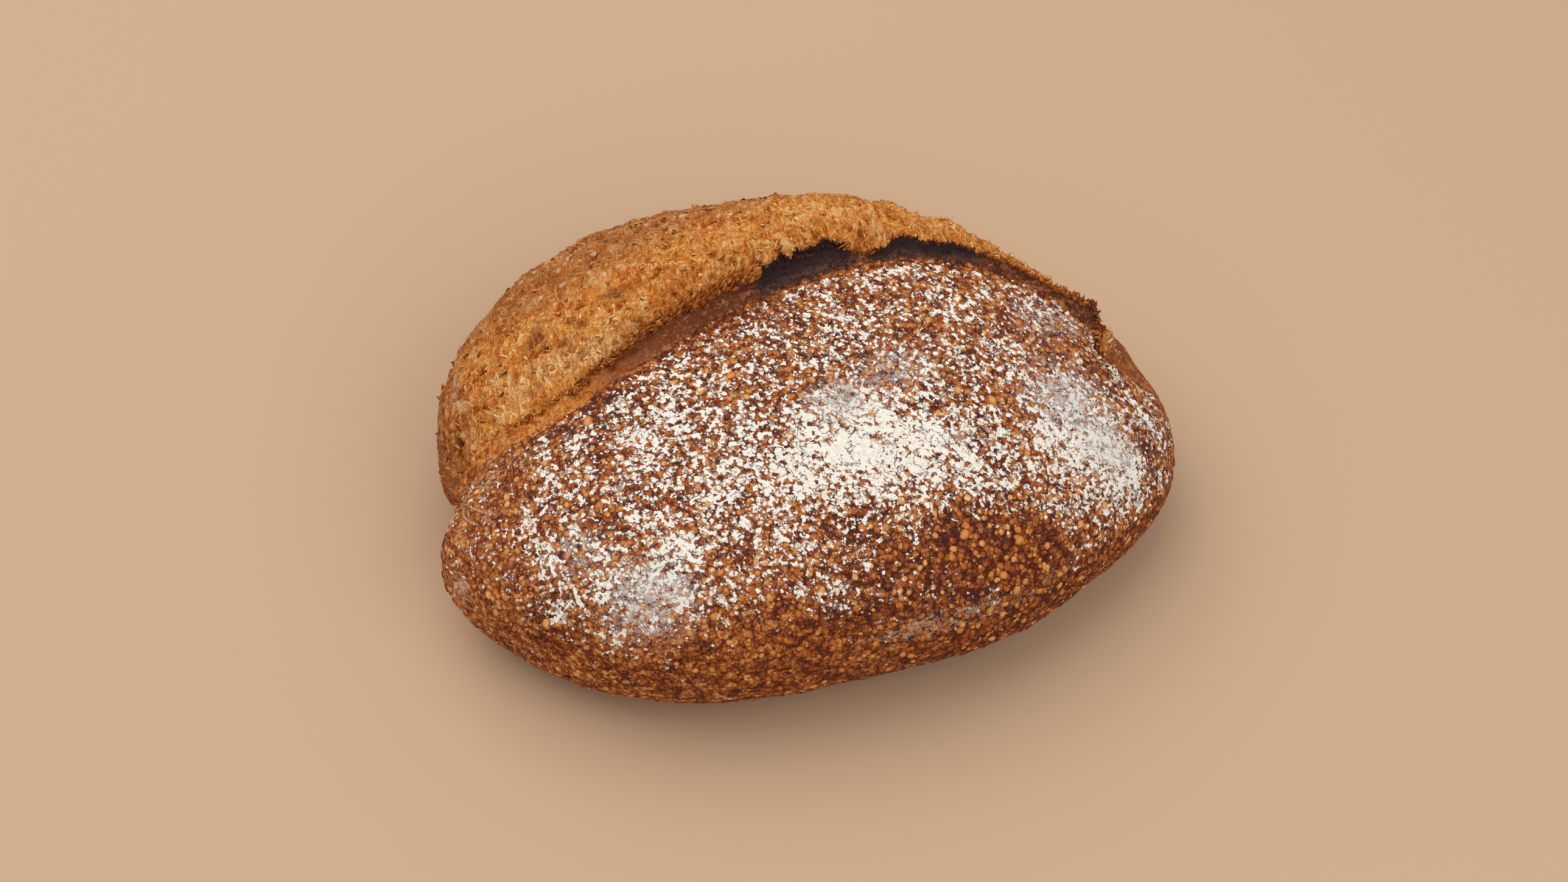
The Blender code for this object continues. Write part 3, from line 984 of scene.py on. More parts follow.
# %% [markdown]
# ## Flour
# Flour lies in clumps of one to three millimetres with sharp, broken edges, and with dust between them. One
# threshold on noise of several sizes does it all: the more flour a place should have, the more of the noise
# is above it. Where it is thickest the skin stretched under it, so thin dark cracks run through. Rubbed
# flour is only a pale film.

# %% Flour on top of a colour
FLOUR_SHADED = linear(216, 207, 196)
FLOUR_CREAM = linear(247, 241, 229)
FLOUR_FILM = linear(212, 206, 200)
CLUMP_SIZE = 0.0022
CLUMP_TURN = -40.0
CLUMP_STRETCH = (1.15, 0.92, 1.0)
GRAIN_SIZE = 0.0009
DRIFT_SIZE = 0.012
POWDER_SIZE = 0.0006
FLOUR_BEAD_SIZE = 0.0017
DOT_SIZE = 0.0012
CRACK_SIZE = 0.0060
SMEAR_SIZE = 0.0026


def specks(paint, size, least, most, odds, shift):
    """1 on round specks in cells of that size, 0 between them."""
    cells = paint.cells(size, shift=shift)
    chance = paint.chance(cells)
    radius = chance.output(1) * (most - least) + least
    inside = 1.0 - paint.between(cells / radius, 0.70, 1.0)
    return inside * paint.between(chance, 1.0 - odds, 1.02 - odds)


def add_flour(paint, colour, height):
    amount = paint.field("flour")
    film = paint.field("film")
    slanted = paint.turned(paint.place, CLUMP_TURN, CLUMP_STRETCH)
    clumps = paint.noise(CLUMP_SIZE, 3.0, 0.55, 0.0, slanted, 3.0)
    grains = paint.noise(GRAIN_SIZE, 3.0, 0.60, 0.0, slanted, 5.0)
    drifts = paint.noise(DRIFT_SIZE, 2.0, 0.5, 0.0, None, 6.0)
    powder = paint.noise(POWDER_SIZE, 3.0, 0.6, 0.0, None, 1.0)
    beads = paint.cells(FLOUR_BEAD_SIZE, shift=17.0)
    round_beads = (paint.chance(beads) - 0.5) * 0.40 + (0.45 - beads) * 0.60
    dusted = (clumps - 0.5) * 1.9 + (grains - 0.5) * 0.8 + (drifts - 0.5) * 0.9 + amount + round_beads
    cover = paint.between(dusted, 0.50, 0.55)
    dots = specks(paint, DOT_SIZE, 0.16, 0.38, 0.34, 21.0) * paint.between(amount, 0.18, 0.40)
    cover = paint.math("MAXIMUM", cover, dots * 0.85)
    veins = abs(paint.noise(CRACK_SIZE, 4.0, 0.55, 0.6, slanted, 2.0) - 0.5)
    open_here = paint.between(paint.noise(CRACK_SIZE, 2.0, shift=8.0), 0.42, 0.50)
    cracks = (1.0 - paint.between(veins, 0.006, 0.022)) * open_here
    cover = cover * (1.0 - cracks * 0.80)
    white = paint.mix(paint.between(powder * 0.7 + clumps * 0.3, 0.34, 0.54), FLOUR_SHADED, FLOUR_CREAM)
    white = paint.mix(paint.between(film, 0.3, 1.0) * 0.6, white, FLOUR_FILM)
    smeared = paint.noise(SMEAR_SIZE, 5.0, 0.7, 0.3, None, 11.0)
    speckled = paint.between(powder * 0.5 + smeared * 0.7 + film * 0.20, 0.66, 0.80)
    haze = paint.between(film, 0.05, 0.6) * (speckled * 0.60 + paint.between(smeared, 0.40, 0.64) * 0.25)
    colour = paint.mix(haze, colour, FLOUR_FILM)
    colour = paint.mix(paint.between(dusted, 0.32, 0.54) * 0.12, colour, FLOUR_SHADED)
    colour = paint.mix(cover * 0.97, colour, white)
    height = height * (1.0 - cover * 0.6) + cover * (0.45 + clumps * 0.5 + grains * 0.4)
    return colour, height, cover


# %% [markdown]
# ## Torn crumb
# The bloom is crumb that tore open and then browned: golden orange, paler where thin webs stretch over
# holes, browner far from the slash, with pale specks where the skin blistered. Painted shade darkens it just
# inside the pockets' rims and in the hollows of its relief, and painted light makes its ridges paler. Its
# strands run away from the slash, so one noise is read in the grain's own directions.

# %% Crumb
CRUMB_TONES = tones(
    (0.08, 142, 58, 8), (0.30, 190, 96, 18), (0.50, 218, 134, 44), (0.68, 234, 166, 84),
    (0.92, 248, 212, 156),
)
OUTER_TONES = tones(
    (0.10, 118, 54, 12), (0.32, 160, 82, 22), (0.54, 192, 114, 46), (0.74, 212, 148, 86),
    (0.94, 228, 186, 138),
)
WEB_PALE = linear(246, 210, 150)
WEB_SHADED = linear(212, 138, 56)
POCKET_RIM_PAINTED_SHADE = linear(112, 54, 16)
SPECK_PALE = linear(232, 202, 160)
STRAND_GRAIN = (540.0, 130.0, 1.0)
CRUMB_FLAKES = 0.0032
CRUMB_LUMPS = 0.012
CRUMB_CURLS = 0.0044
CRUMB_BUBBLES = 0.0040
BUBBLE_STRETCH = (1.0, 0.8, 0.8)
CRUMB_SPECKS = 0.0046


def crumb_paint(paint):
    grain = paint.direction("grain")
    strands = paint.noise(1.0, 3.0, 0.6, 1.6, paint.stretched(grain, STRAND_GRAIN))
    flakes = paint.noise(CRUMB_FLAKES, 4.0, 0.64, 2.4, None, 2.0)
    lumps = paint.noise(CRUMB_LUMPS, 3.0, 0.55, 0.5, None, 5.0)
    curls = abs(paint.noise(CRUMB_CURLS, 2.0, 0.5, 2.4, None, 12.0) - 0.5)
    curls = 1.0 - paint.between(curls, 0.004, 0.040)
    tone = (strands - 0.5) * 0.9 + (flakes - 0.5) * 1.4 + (lumps - 0.5) * 0.8 + curls * 0.20 + 0.45
    # Painted shade and light: the relief's height darkens the crumb in its hollows and pits and makes its
    # ridges paler.
    tone = tone + paint.field("height") * 0.16
    inner = paint.ramp(tone, CRUMB_TONES)
    outer = paint.ramp(tone, OUTER_TONES)
    bubbles = paint.cells(CRUMB_BUBBLES, paint.stretched(paint.place, BUBBLE_STRETCH), 4.0)
    rims = 1.0 - paint.between(abs(bubbles - 0.40), 0.02, 0.08)
    webs = paint.field("webs") + paint.field("hollow") * 0.8 + (lumps - 0.5) * 1.2 + (flakes - 0.5) * 1.0
    webs = paint.between(webs, 0.30, 0.90)
    web_tone = paint.mix(paint.between(strands * 0.9 + rims * 0.20, 0.40, 0.62), WEB_SHADED, WEB_PALE)
    inner = paint.mix(webs * 0.70, inner, web_tone)
    # Painted shade: the crumb darkens just inside the pockets' rims, where it falls away into the hollow.
    inner = paint.mix(paint.field("shade") * 0.85, inner, POCKET_RIM_PAINTED_SHADE)
    browner = paint.between(paint.field("outer") + (lumps - 0.5) * 0.9, 0.30, 0.95)
    colour = paint.mix(browner, inner, outer)
    pale = specks(paint, CRUMB_SPECKS, 0.18, 0.42, 0.26, 6.0)
    pale = pale * paint.between(paint.field("outer"), 0.25, 0.8)
    colour = paint.mix(pale * 0.7, colour, SPECK_PALE)
    colour = paint.mix(paint.field("seam") * 0.6, colour, SPECK_PALE)
    return colour, strands * 0.35 + flakes * 0.50 + curls * 0.15


# %% [markdown]
# ## The ear's strip and the sides
# The strip between the floured skin and the crest is bare. It is orange gold at the left, where it was
# shaded by the bloom, brown further on, and burnt to a dark purple brown along the raised ear. Round the
# pinched end the skin is warm and streaked, and dusty streaks run round low on the front.

# %% Strip
STRIP_GOLDS = tones((0.12, 134, 56, 8), (0.36, 184, 96, 20), (0.60, 210, 134, 54), (0.88, 230, 178, 112))
STRIP_BROWNS = tones((0.12, 62, 28, 16), (0.38, 98, 50, 27), (0.62, 134, 76, 44), (0.90, 180, 118, 74))
STRIP_DARKS = tones((0.15, 34, 19, 20), (0.42, 62, 37, 33), (0.65, 92, 57, 43), (0.92, 138, 88, 60))
STRIP_GRAIN = (260.0, 620.0, 1.0)
STRIP_FLECKS = 0.0022
STRIP_GRIT = 0.0020
STRIP_BURNT = linear(44, 26, 27)
WALL_GOLD = linear(184, 104, 38)


def strip_paint(paint):
    grain = paint.direction("grain")
    streaks = paint.noise(1.0, 4.0, 0.6, 0.9, paint.stretched(grain, STRIP_GRAIN, (3.0, 1.0, 2.0)))
    flecks = paint.noise(STRIP_FLECKS, 4.0, 0.65, 1.2, None, 7.0)
    grit = paint.chance(paint.cells(STRIP_GRIT, shift=9.0))
    burn = paint.field("burn")
    tone = (streaks - 0.5) * 1.0 + (flecks - 0.5) * 2.3 + (grit - 0.5) * 0.35 + 0.48
    gold = paint.ramp(tone, STRIP_GOLDS)
    brown = paint.ramp(tone, STRIP_BROWNS)
    dark = paint.ramp(tone, STRIP_DARKS)
    plain = paint.mix(paint.between(burn + (tone - 0.5) * 0.6, 0.15, 0.45), gold, brown)
    plain = paint.mix(paint.between(burn + (tone - 0.5) * 0.2, 0.66, 0.92), plain, dark)
    charred = paint.between(burn * 0.75 + paint.field("edge") * 0.60 + (tone - 0.5) * 0.5, 0.92, 1.16)
    colour = paint.mix(charred, plain, STRIP_BURNT)
    inner = paint.between(paint.field("wall") + (tone - 0.5) * 0.3, 0.10, 0.45)
    return paint.mix(inner, colour, WALL_GOLD), streaks * 0.4 + flecks * 0.6


# %% Sides and ends
SIDE_BROWN = linear(138, 72, 26)
SIDE_ORANGE = linear(176, 102, 42)
NECK_SHADED = linear(148, 78, 28)
NECK_ORANGE = linear(196, 128, 66)
DUST = linear(214, 190, 164)
PLEAT_GRAIN = (620.0, 90.0, 1.0)
SIDE_PATCHES = 0.010
BAND_GRAIN = (190.0, 260.0, 700.0)
DUST_GRAIN = 0.0008


def side_paint(paint, colour):
    """Warms the skin round the pinched end and browns it on the back."""
    streaks = paint.noise(1.0, 4.0, 0.6, 0.4, paint.stretched(paint.direction("pleats"), PLEAT_GRAIN))
    near_neck = paint.field("near_neck")
    warm = paint.between(near_neck + (streaks - 0.5) * 0.9, 0.25, 0.75)
    neck = paint.mix(paint.between(streaks, 0.42, 0.58), NECK_SHADED, NECK_ORANGE)
    colour = paint.mix(warm * 0.70, colour, neck)
    dusty = paint.between(streaks, 0.55, 0.62) * paint.between(near_neck, 0.20, 0.60)
    colour = paint.mix(dusty * 0.60, colour, DUST)
    patchy = paint.noise(SIDE_PATCHES, 4.0, 0.6, 0.0, None, 9.0)
    side = paint.mix(paint.between(patchy, 0.38, 0.62), SIDE_BROWN, SIDE_ORANGE)
    return paint.mix(paint.field("on_back") * 0.60, colour, side)


def skirt_paint(paint, colour):
    """Dusty streaks where the front turns under, and near the base."""
    band = paint.noise(1.0, 5.0, 0.70, 0.3, paint.stretched(paint.place, BAND_GRAIN))
    low = paint.math("MAXIMUM", paint.field("skirt"), paint.field("low") * 0.8)
    powder = paint.noise(DUST_GRAIN, 3.0, 0.6, 0.0, None, 15.0)
    dusted = paint.between(band * 0.6 + powder * 0.4 + low * 0.16, 0.56, 0.66)
    dusted = dusted * paint.between(low, 0.10, 0.5)
    return paint.mix(dusted * 0.52, colour, DUST)


# %% The loaf's material
HOLE_PAINTED_SHADE = linear(38, 20, 12)
CRUST_RELIEF = 0.0011
EDGE_RAGGED = 9.0


def loaf_material():
    paint = Paint("crust", 0.80)
    colour, height = skin_paint(paint)
    colour = side_paint(paint, colour)
    colour, height, cover = add_flour(paint, colour, height)
    colour = skirt_paint(paint, colour)
    strip_colour, strip_height = strip_paint(paint)
    on_ear = paint.between(paint.field("across") + (strip_height - 0.5) * EDGE_RAGGED, -0.6, 0.6)
    colour = paint.mix(on_ear, colour, strip_colour)
    height = height * (1.0 - on_ear) + strip_height * 1.6 * on_ear
    crumb_colour, crumb_height = crumb_paint(paint)
    torn = paint.between(paint.field("torn") + (crumb_height - 0.5) * 1.6, 0.30, 0.70)
    colour = paint.mix(torn, colour, crumb_colour)
    height = height * (1.0 - torn) + crumb_height * 1.8 * torn
    # Painted shade: the hole at the left end is coloured near black towards its middle.
    colour = paint.mix(paint.between(paint.field("pit"), 0.25, 0.7), colour, HOLE_PAINTED_SHADE)
    return paint.finish(colour, height, CRUST_RELIEF, 0.60 + cover * 0.32)


CRUST = loaf_material()
for at in SURFACES:
    at.piece.data.materials.clear()
    at.piece.data.materials.append(CRUST)
print("nodes in the crust:", len(CRUST.node_tree.nodes))

# %% [markdown]
# ## Into the frame
# Both meshes stand for the imported solid and ride on its body.

# %% Ride
ROOT = next(iter(frame["bodies"]))


def fit_to_frame(piece):
    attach(piece, ROOT)


fit_to_frame(skin.piece)
fit_to_frame(bloom.piece)
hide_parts("loaf")
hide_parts("loaf")
print("riding on", ROOT)

# %% [markdown]
# ## Bits by the thousand
# Shards, flakes and blisters are all copies of one small closed shape. They are worked out as arrays and
# joined into one mesh for each kind, which is far quicker than thousands of objects. Each bit is set on a
# vertex of a surface, drawn at random with more chance where the kind belongs.

# %% Where bits go
def vertex_areas(mesh):
    """The face area round each vertex."""
    corners = np.empty(len(mesh.loops), dtype=np.int32)
    mesh.loops.foreach_get("vertex_index", corners)
    totals = np.empty(len(mesh.polygons), dtype=np.int32)
    mesh.polygons.foreach_get("loop_total", totals)
    areas = np.empty(len(mesh.polygons))
    mesh.polygons.foreach_get("area", areas)
    return np.bincount(corners, np.repeat(areas / totals, totals), len(mesh.vertices))


def draw_spots(at, weight, count):
    """Numbers of vertices drawn at random, more often where weight and area are large."""
    chance = np.maximum(weight, 0.0) * at.areas
    return RANDOM.choice(len(chance), count, p=chance / chance.sum())


def unit(vectors):
    return vectors / np.linalg.norm(vectors, axis=-1, keepdims=True)


def tangents(at, spots):
    """For each spot, the direction away from the slash along the surface, and the normal."""
    normal = at.normals[spots]
    away = leaning_back(Station(at.along[spots]))
    return unit(away - (away * normal).sum(axis=1, keepdims=True) * normal), normal


for at in SURFACES:
    at.areas = vertex_areas(at.piece.data)
print("front area in square mm:", round(float((skin.areas * skin.on_front).sum()) * 1e6))


# %% Join copies of a small shape
def join_bits(name, copies, faces, origin, axes, sizes, fields, material):
    """Each copy is a small shape, sized along its three axes and set at its origin."""
    points = origin[:, None, :] + np.einsum("nvk,nkc->nvc", copies * sizes[:, None, :], axes)
    corners = copies.shape[1]
    starts = corners * np.arange(len(origin))[:, None]
    listed = []
    for face in faces:
        listed.extend((np.array(face) + starts).tolist())
    mesh = bpy.data.meshes.new(name)
    mesh.from_pydata(points.reshape(-1, 3).tolist(), [], listed)
    mesh.shade_smooth()
    spread = {}
    for key, values in fields.items():
        spread[key] = values.ravel() if values.ndim == 2 else np.repeat(values, corners)
    write_attributes(mesh, spread)
    mesh.materials.append(material)
    piece = bpy.data.objects.new(name, mesh)
    bpy.context.scene.collection.objects.link(piece)
    fit_to_frame(piece)
    triangles = sum(len(face) - 2 for face in faces) * len(origin)
    print(name, "has", len(origin), "bits and", triangles, "triangles")
    return piece


# %% [markdown]
# ## Flakes and shards
# A flake of crumb is a flat spindle: pointed at both ends, widest near its middle and bent towards its tip.
# The same shape, longer and thinner, is a strand, and shorter and thicker it is a burnt shard of the crest.

# %% The spindle
SPINDLE_SECTIONS = 3


def spindles(curl, twist):
    """A copy for each curl and twist: length 0 to 1, half width 1 and half thickness 1."""
    rows = [(0.0, 0.0, 0.0)]
    for step in range(1, SPINDLE_SECTIONS + 1):
        place_along = step / (SPINDLE_SECTIONS + 1.0)
        full = math.sin(math.pi * place_along**0.8) ** 0.7
        rows.append((place_along, -full, 0.0))
        rows.append((place_along, 0.0, full))
        rows.append((place_along, full, 0.0))
        rows.append((place_along, 0.0, -full))
    rows.append((1.0, 0.0, 0.0))
    copies = np.repeat(np.array(rows)[None], len(curl), axis=0)
    bent = copies[:, :, 0] ** 2
    copies[:, :, 1] += twist[:, None] * bent
    copies[:, :, 2] += curl[:, None] * bent
    return copies


def spindle_faces():
    faces = [(0, 1 + side, 1 + (side + 1) % 4) for side in range(4)]
    for step in range(SPINDLE_SECTIONS - 1):
        low = 1 + 4 * step
        for side in range(4):
            after = (side + 1) % 4
            faces.append((low + side, low + 4 + side, low + 4 + after, low + after))
    last = 1 + 4 * (SPINDLE_SECTIONS - 1)
    tip = last + 4
    return faces + [(tip, last + (side + 1) % 4, last + side) for side in range(4)]


def aim(away, normal, turn, lift):
    """Three axes for each bit: along it, across it and its upper side."""
    across = np.cross(normal, away)
    level = np.cos(turn)[:, None] * away + np.sin(turn)[:, None] * across
    along_bit = np.cos(lift)[:, None] * level + np.sin(lift)[:, None] * normal
    side = unit(np.cross(normal, along_bit))
    return np.stack([along_bit, side, np.cross(along_bit, side)], axis=1)


# %% [markdown]
# The bits' material is the crumb's or the crest's, told apart by how burnt each bit is. A random tint for
# each bit does most of the work, because neighbouring flakes on the real loaf differ strongly.

# %% Material of the bits
BIT_TONES = tones(
    (0.00, 128, 58, 14), (0.25, 176, 96, 28), (0.55, 212, 142, 66), (0.80, 230, 178, 112),
    (1.00, 244, 212, 164),
)
BIT_RED = linear(132, 62, 22)
BIT_GRAIN = 0.0008
BIT_RELIEF = 0.0003


def bits_material():
    paint = Paint("torn_bits", 0.75)
    grains = paint.noise(BIT_GRAIN, 3.0, 0.6)
    tint = paint.field("tint") + (grains - 0.5) * 0.7
    colour = paint.ramp(tint, BIT_TONES)
    burn = paint.field("burn") + (grains - 0.5) * 0.5
    colour = paint.mix(paint.between(burn, 0.25, 0.60), colour, BIT_RED)
    colour = paint.mix(paint.between(burn, 0.62, 0.95), colour, STRIP_BURNT)
    return paint.finish(colour, grains, BIT_RELIEF)


TORN_BITS = bits_material()

# %% Flakes over the bloom
FLAKE_THICKNESS = 0.00016
FLAKE_SINK = 0.0003
SUNK_SHARE = 0.1
FLAKE_CURL = 1.2
OUTER_DARKER = 0.28
CLEAR_OF_EAR = (0.004, 0.006)
STRANDS_NEAR_EAR = 0.024


def add_flakes(name, weight, count, lengths, widths, spread, lifts, tints):
    spots = draw_spots(bloom, weight, count)
    away, normal = tangents(bloom, spots)
    axes = aim(away, normal, RANDOM.normal(0.0, spread, count), RANDOM.uniform(*lifts, count))
    length = RANDOM.uniform(*lengths, count)
    sizes = np.stack([length, RANDOM.uniform(*widths, count), np.full(count, FLAKE_THICKNESS)], -1)
    origin = bloom.points[spots] - normal * FLAKE_SINK - axes[:, 0] * length[:, None] * SUNK_SHARE
    tint = RANDOM.uniform(*tints, count) - bloom.outer[spots] * OUTER_DARKER
    fields = {"tint": tint, "burn": np.zeros(count)}
    copies = spindles(RANDOM.uniform(-FLAKE_CURL, FLAKE_CURL, count), RANDOM.normal(0.0, 1.0, count))
    return join_bits(name, copies, spindle_faces(), origin, axes, sizes, fields, TORN_BITS)


clear_of_ear = bloom.torn * rising(bloom.reach, *CLEAR_OF_EAR)
add_flakes(
    "crumb_strands", np.exp(-bloom.reach / STRANDS_NEAR_EAR) * clear_of_ear, 900,
    lengths=(0.0025, 0.0065), widths=(0.0003, 0.0007), spread=0.45, lifts=(-0.06, 0.06), tints=(0.35, 0.95),
)
add_flakes(
    "crumb_flakes", clear_of_ear, 2600,
    lengths=(0.0018, 0.0046), widths=(0.0006, 0.0014), spread=1.5, lifts=(-0.06, 0.08), tints=(0.2, 0.85),
)


# %% [markdown]
# ## Shards on the crest
# The ear's crest tore last. It carries a fringe of shards: long orange-brown ones at the left of the raised
# part, short black ones along it, and stiff dark spikes at its right end. A second kind, the curls, is
# wider and reddish, and leans forward over the strip.

# %% Crest shards
SHARD_LENGTHS = (
    (-1.0, 0.0008), (-0.85, 0.0014), (-0.45, 0.0020), (-0.30, 0.0038), (-0.09, 0.0040), (-0.04, 0.0016),
    (0.15, 0.0016), (0.21, 0.0034), (0.27, 0.0018), (0.60, 0.0018), (0.76, 0.0034), (0.84, 0.0030),
    (1.0, 0.0008),
)
SHARD_AMOUNTS = (
    (-1.0, 0.0), (-0.92, 0.2), (-0.80, 0.8), (-0.3, 1.2), (0.2, 1.0), (0.84, 1.0), (0.90, 0.0), (1.0, 0.0),
)
SHARD_BURNS = (
    (-1.0, 0.25), (-0.80, 0.30), (-0.45, 0.36), (-0.12, 0.26), (-0.07, 0.95), (0.15, 0.95), (0.19, 0.25),
    (0.25, 0.85), (0.46, 0.80), (0.58, 0.35), (0.74, 0.40), (0.80, 0.70), (1.0, 0.4),
)
CURL_LENGTHS = (
    (-1.0, 0.0024), (-0.60, 0.0034), (-0.36, 0.0050), (-0.10, 0.0060), (0.0, 0.0030), (1.0, 0.0030),
)
CURL_AMOUNTS = (
    (-1.0, 0.0), (-0.90, 0.4), (-0.50, 1.0), (-0.32, 1.5), (-0.10, 2.4), (-0.06, 0.0), (0.15, 0.0),
    (0.18, 1.4), (0.23, 0.0), (0.48, 0.0), (0.60, 0.7), (0.84, 0.7), (0.88, 0.0), (1.0, 0.0),
)
CURL_BURNS = ((-1.0, 0.20), (-0.5, 0.34), (-0.1, 0.24), (0.2, 0.18), (0.6, 0.26), (1.0, 0.40))
ON_CREST = (0.80, 0.18)
BEHIND_CREST = 0.5
SHARD_SINK = 0.0005
SHARD_THICKNESS = 0.10
THINNEST_SHARD = 0.0001


def add_shards(name, count, amounts, lengths, burns, widths, curl, lean):
    """Shards that stand on the crest, as wide as a share of their length. A lean below 0 is forward."""
    on_crest = np.where(skin.zone == "ear", rising(skin.share, *ON_CREST), 0.0)
    on_crest = on_crest + np.where(skin.zone == "wall", 1.0 - smooth(skin.share / BEHIND_CREST), 0.0)
    spots = draw_spots(skin, on_crest * profile(skin.along, amounts), count)
    station = Station(skin.along[spots])
    away = leaning_back(station)
    along_crest = np.cross(UP, away)
    steep = (0.45 + 0.5 * station.lift)[:, None]
    sway = RANDOM.normal(0.0, 0.45, count)[:, None]
    upright = unit(UP * steep + away * lean * (1.0 - 0.8 * steep) + along_crest * sway)
    side = unit(np.cross(upright, away + 0.3 * along_crest))
    axes = np.stack([upright, side, np.cross(upright, side)], axis=1)
    length = profile(skin.along[spots], lengths) * RANDOM.uniform(0.35, 1.25, count)
    thickness = length * SHARD_THICKNESS + THINNEST_SHARD
    sizes = np.stack([length, length * RANDOM.uniform(*widths, count), thickness], -1)
    origin = skin.points[spots] - upright * SHARD_SINK
    burn = profile(skin.along[spots], burns) + RANDOM.normal(0.0, 0.12, count)
    fields = {"tint": RANDOM.uniform(0.05, 0.60, count), "burn": burn}
    copies = spindles(RANDOM.normal(0.0, curl, count), RANDOM.normal(0.0, 0.9, count))
    return join_bits(name, copies, spindle_faces(), origin, axes, sizes, fields, TORN_BITS)


add_shards("ear_shards", 3200, SHARD_AMOUNTS, SHARD_LENGTHS, SHARD_BURNS, (0.12, 0.34), 2.2, 0.5)
add_shards("ear_curls", 1500, CURL_AMOUNTS, CURL_LENGTHS, CURL_BURNS, (0.20, 0.45), 1.4, -0.8)

# %% [markdown]
# ## Blisters
# The larger blisters of the skin are low domes, a little oval, most of them from one to three and a half
# millimetres across. They show best on the steep front at the right, where there is no flour. Their
# material is a golden brown under the very same flour as the skin's, because both read the same noise.

# %% The dome
DOME_SIDES = 9
DOME_RINGS = ((1.0, -0.3), (0.95, 0.30), (0.60, 0.80))


def dome():
    """A closed dome of radius 1 and height 1."""
    angles = np.arange(DOME_SIDES) / DOME_SIDES * 2.0 * math.pi
    rings = []
    for radius, height in DOME_RINGS:
        rings.append(np.stack([np.cos(angles) * radius, np.sin(angles) * radius, 0.0 * angles + height], -1))
    return np.concatenate(rings + [np.array([[0.0, 0.0, 1.0]])])


def dome_faces():
    faces = [tuple(reversed(range(DOME_SIDES)))]
    for ring in range(len(DOME_RINGS) - 1):
        low = ring * DOME_SIDES
        for side in range(DOME_SIDES):
            after = (side + 1) % DOME_SIDES
            faces.append((low + side, low + after, low + DOME_SIDES + after, low + DOME_SIDES + side))
    low = (len(DOME_RINGS) - 1) * DOME_SIDES
    top = len(DOME_RINGS) * DOME_SIDES
    return faces + [(low + side, low + (side + 1) % DOME_SIDES, top) for side in range(DOME_SIDES)]


# %% Blister material
BLISTER_TONES = tones(
    (0.00, 88, 36, 12), (0.30, 146, 74, 24), (0.55, 188, 112, 44), (0.80, 212, 148, 80),
    (1.00, 228, 182, 128),
)
BLISTER_GRAIN = 0.0009
BLISTER_RELIEF = 0.0003


def blister_material():
    paint = Paint("blisters", 0.55)
    fine = paint.noise(BLISTER_GRAIN, 3.0, 0.6)
    tone = paint.field("tint") - paint.field("rim") * 0.42 + (fine - 0.5) * 0.6
    colour = paint.ramp(tone, BLISTER_TONES)
    colour, height, cover = add_flour(paint, colour, fine)
    return paint.finish(colour, height, BLISTER_RELIEF, 0.50 + cover * 0.4)


# %% Blisters over the skin
BLISTERS = 2500
BLISTERED = (((0.058, -0.086), (0.045, 0.016), 1.6), ((-0.070, -0.090), (0.050, 0.020), 0.3))
BLISTERED_ELSEWHERE = 0.8
BLISTERS_ABOVE = (0.008, 0.02)
LEAST_RADIUS = 0.00050
RADIUS_SPREAD = 0.0015
DOME_HEIGHT = 0.32
MOST_OVAL = 1.35
UNEVEN = (0.86, 1.14)
FLOUR_OFF = 0.06


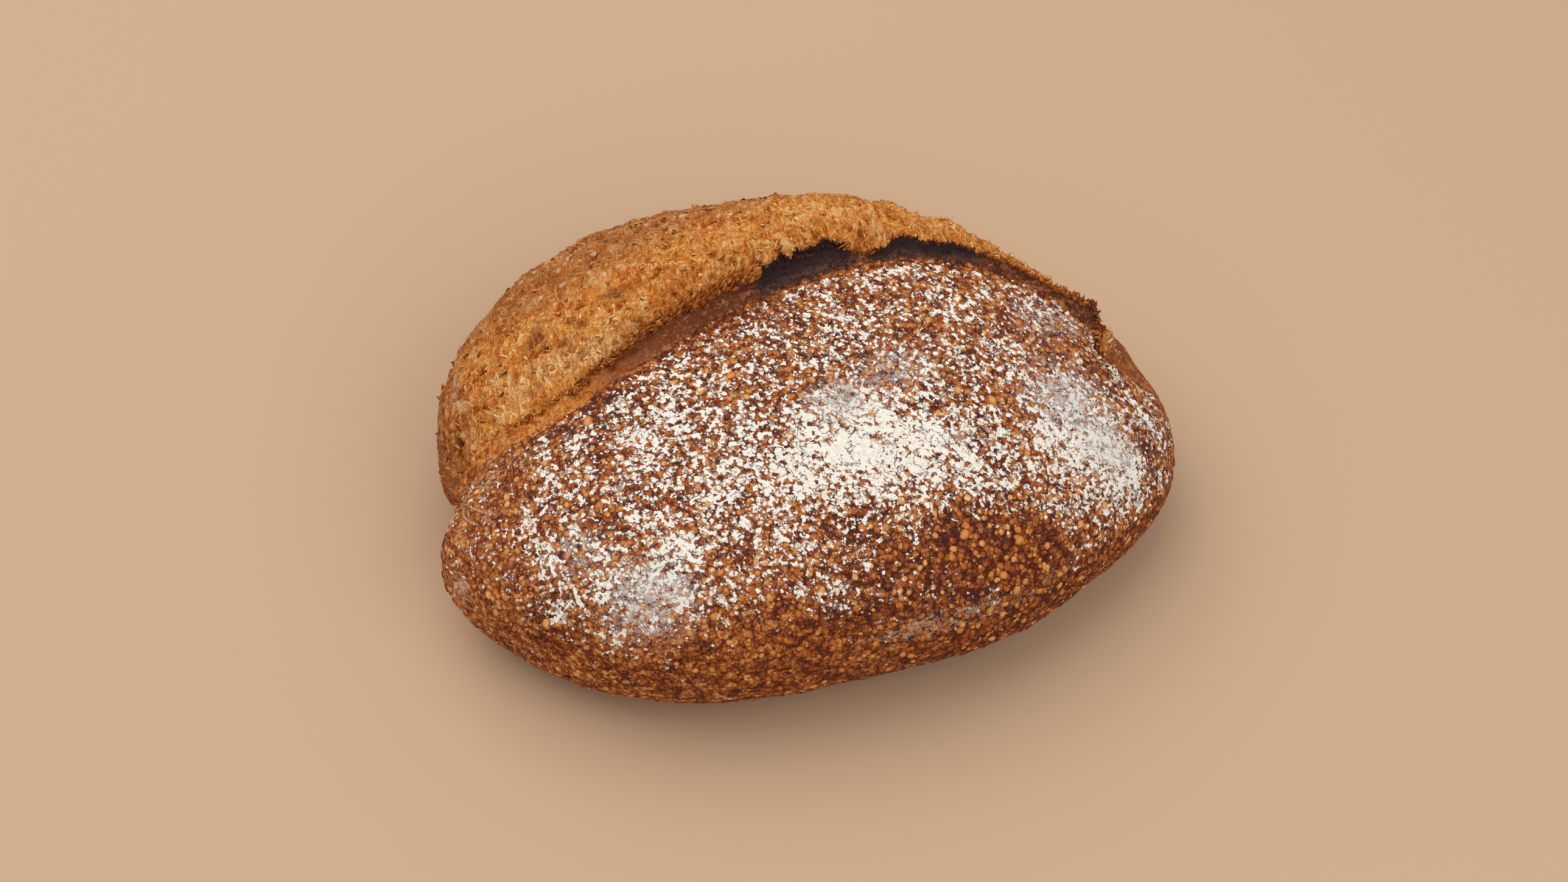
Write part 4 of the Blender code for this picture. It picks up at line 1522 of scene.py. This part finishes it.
def add_blisters():
    weight = np.where(skin.zone == "front", BLISTERED_ELSEWHERE + patches(skin, BLISTERED), 0.0)
    weight = weight * rising(skin.spots[:, 2], *BLISTERS_ABOVE)
    spots = draw_spots(skin, weight, BLISTERS)
    away, normal = tangents(skin, spots)
    axes = aim(away, normal, RANDOM.uniform(0.0, 2.0 * math.pi, BLISTERS), np.zeros(BLISTERS))
    radius = LEAST_RADIUS + RADIUS_SPREAD * RANDOM.beta(1.2, 2.8, BLISTERS)
    sizes = np.stack([radius * RANDOM.uniform(1.0, MOST_OVAL, BLISTERS), radius, radius * DOME_HEIGHT], -1)
    copies = np.repeat(dome()[None], BLISTERS, axis=0)
    copies[:, :, :2] *= RANDOM.uniform(*UNEVEN, (BLISTERS, copies.shape[1], 1))
    rim = np.repeat(1.0 - dome()[None, :, 2], BLISTERS, axis=0)
    fields = {
        "tint": RANDOM.uniform(0.15, 0.95, BLISTERS), "rim": rim,
        "flour": skin.flour[spots] - FLOUR_OFF, "film": skin.film[spots],
    }
    material = blister_material()
    return join_bits(
        "blisters", copies, dome_faces(), skin.points[spots], axes, sizes, fields, material,
    )


add_blisters()

# %% [markdown]
# ## Floor and light
# A plain pale floor takes the place of the board. The light is one wide soft lamp above and behind, to the
# left, a weaker one in front, and an even pale surround, so that the shadow under the front is soft.

# %% Floor
FLOOR_SIZE = 6.0
FLOOR_COLOUR = linear(196, 164, 134)


def add_floor():
    bpy.ops.mesh.primitive_plane_add(size=FLOOR_SIZE)
    floor = bpy.context.object
    floor.name = "floor"
    paint = Paint("pale_floor", 0.8)
    paint.shader.inputs["Base Color"].default_value = FLOOR_COLOUR
    floor.data.materials.append(paint.material)
    return floor


# %% Lamps
def add_lamp(name, place, size, power, colour):
    """A square area lamp that faces the loaf."""
    data = bpy.data.lights.new(name, "AREA")
    data.size = size
    data.energy = power
    data.color = colour
    lamp = bpy.data.objects.new(name, data)
    bpy.context.scene.collection.objects.link(lamp)
    lamp.location = place
    lamp.rotation_euler = (Vector(place) - LOOKED_AT).to_track_quat("Z", "Y").to_euler()
    return lamp


def add_surround(strength):
    world = bpy.data.worlds.new("surround")
    world.use_nodes = True
    world.node_tree.nodes["Background"].inputs["Color"].default_value = (1.0, 0.98, 0.96, 1.0)
    world.node_tree.nodes["Background"].inputs["Strength"].default_value = strength
    bpy.context.scene.world = world


add_floor()
add_lamp("key", (-0.45, 0.45, 1.50), 2.0, 17.6, (1.0, 0.98, 0.95))
add_lamp("fill", (0.7, -1.2, 1.3), 1.4, 9.5, (0.98, 0.99, 1.0))
add_surround(0.58)
bpy.context.scene.view_settings.view_transform = "Standard"
print("lamps:", [light.name for light in bpy.data.lights])
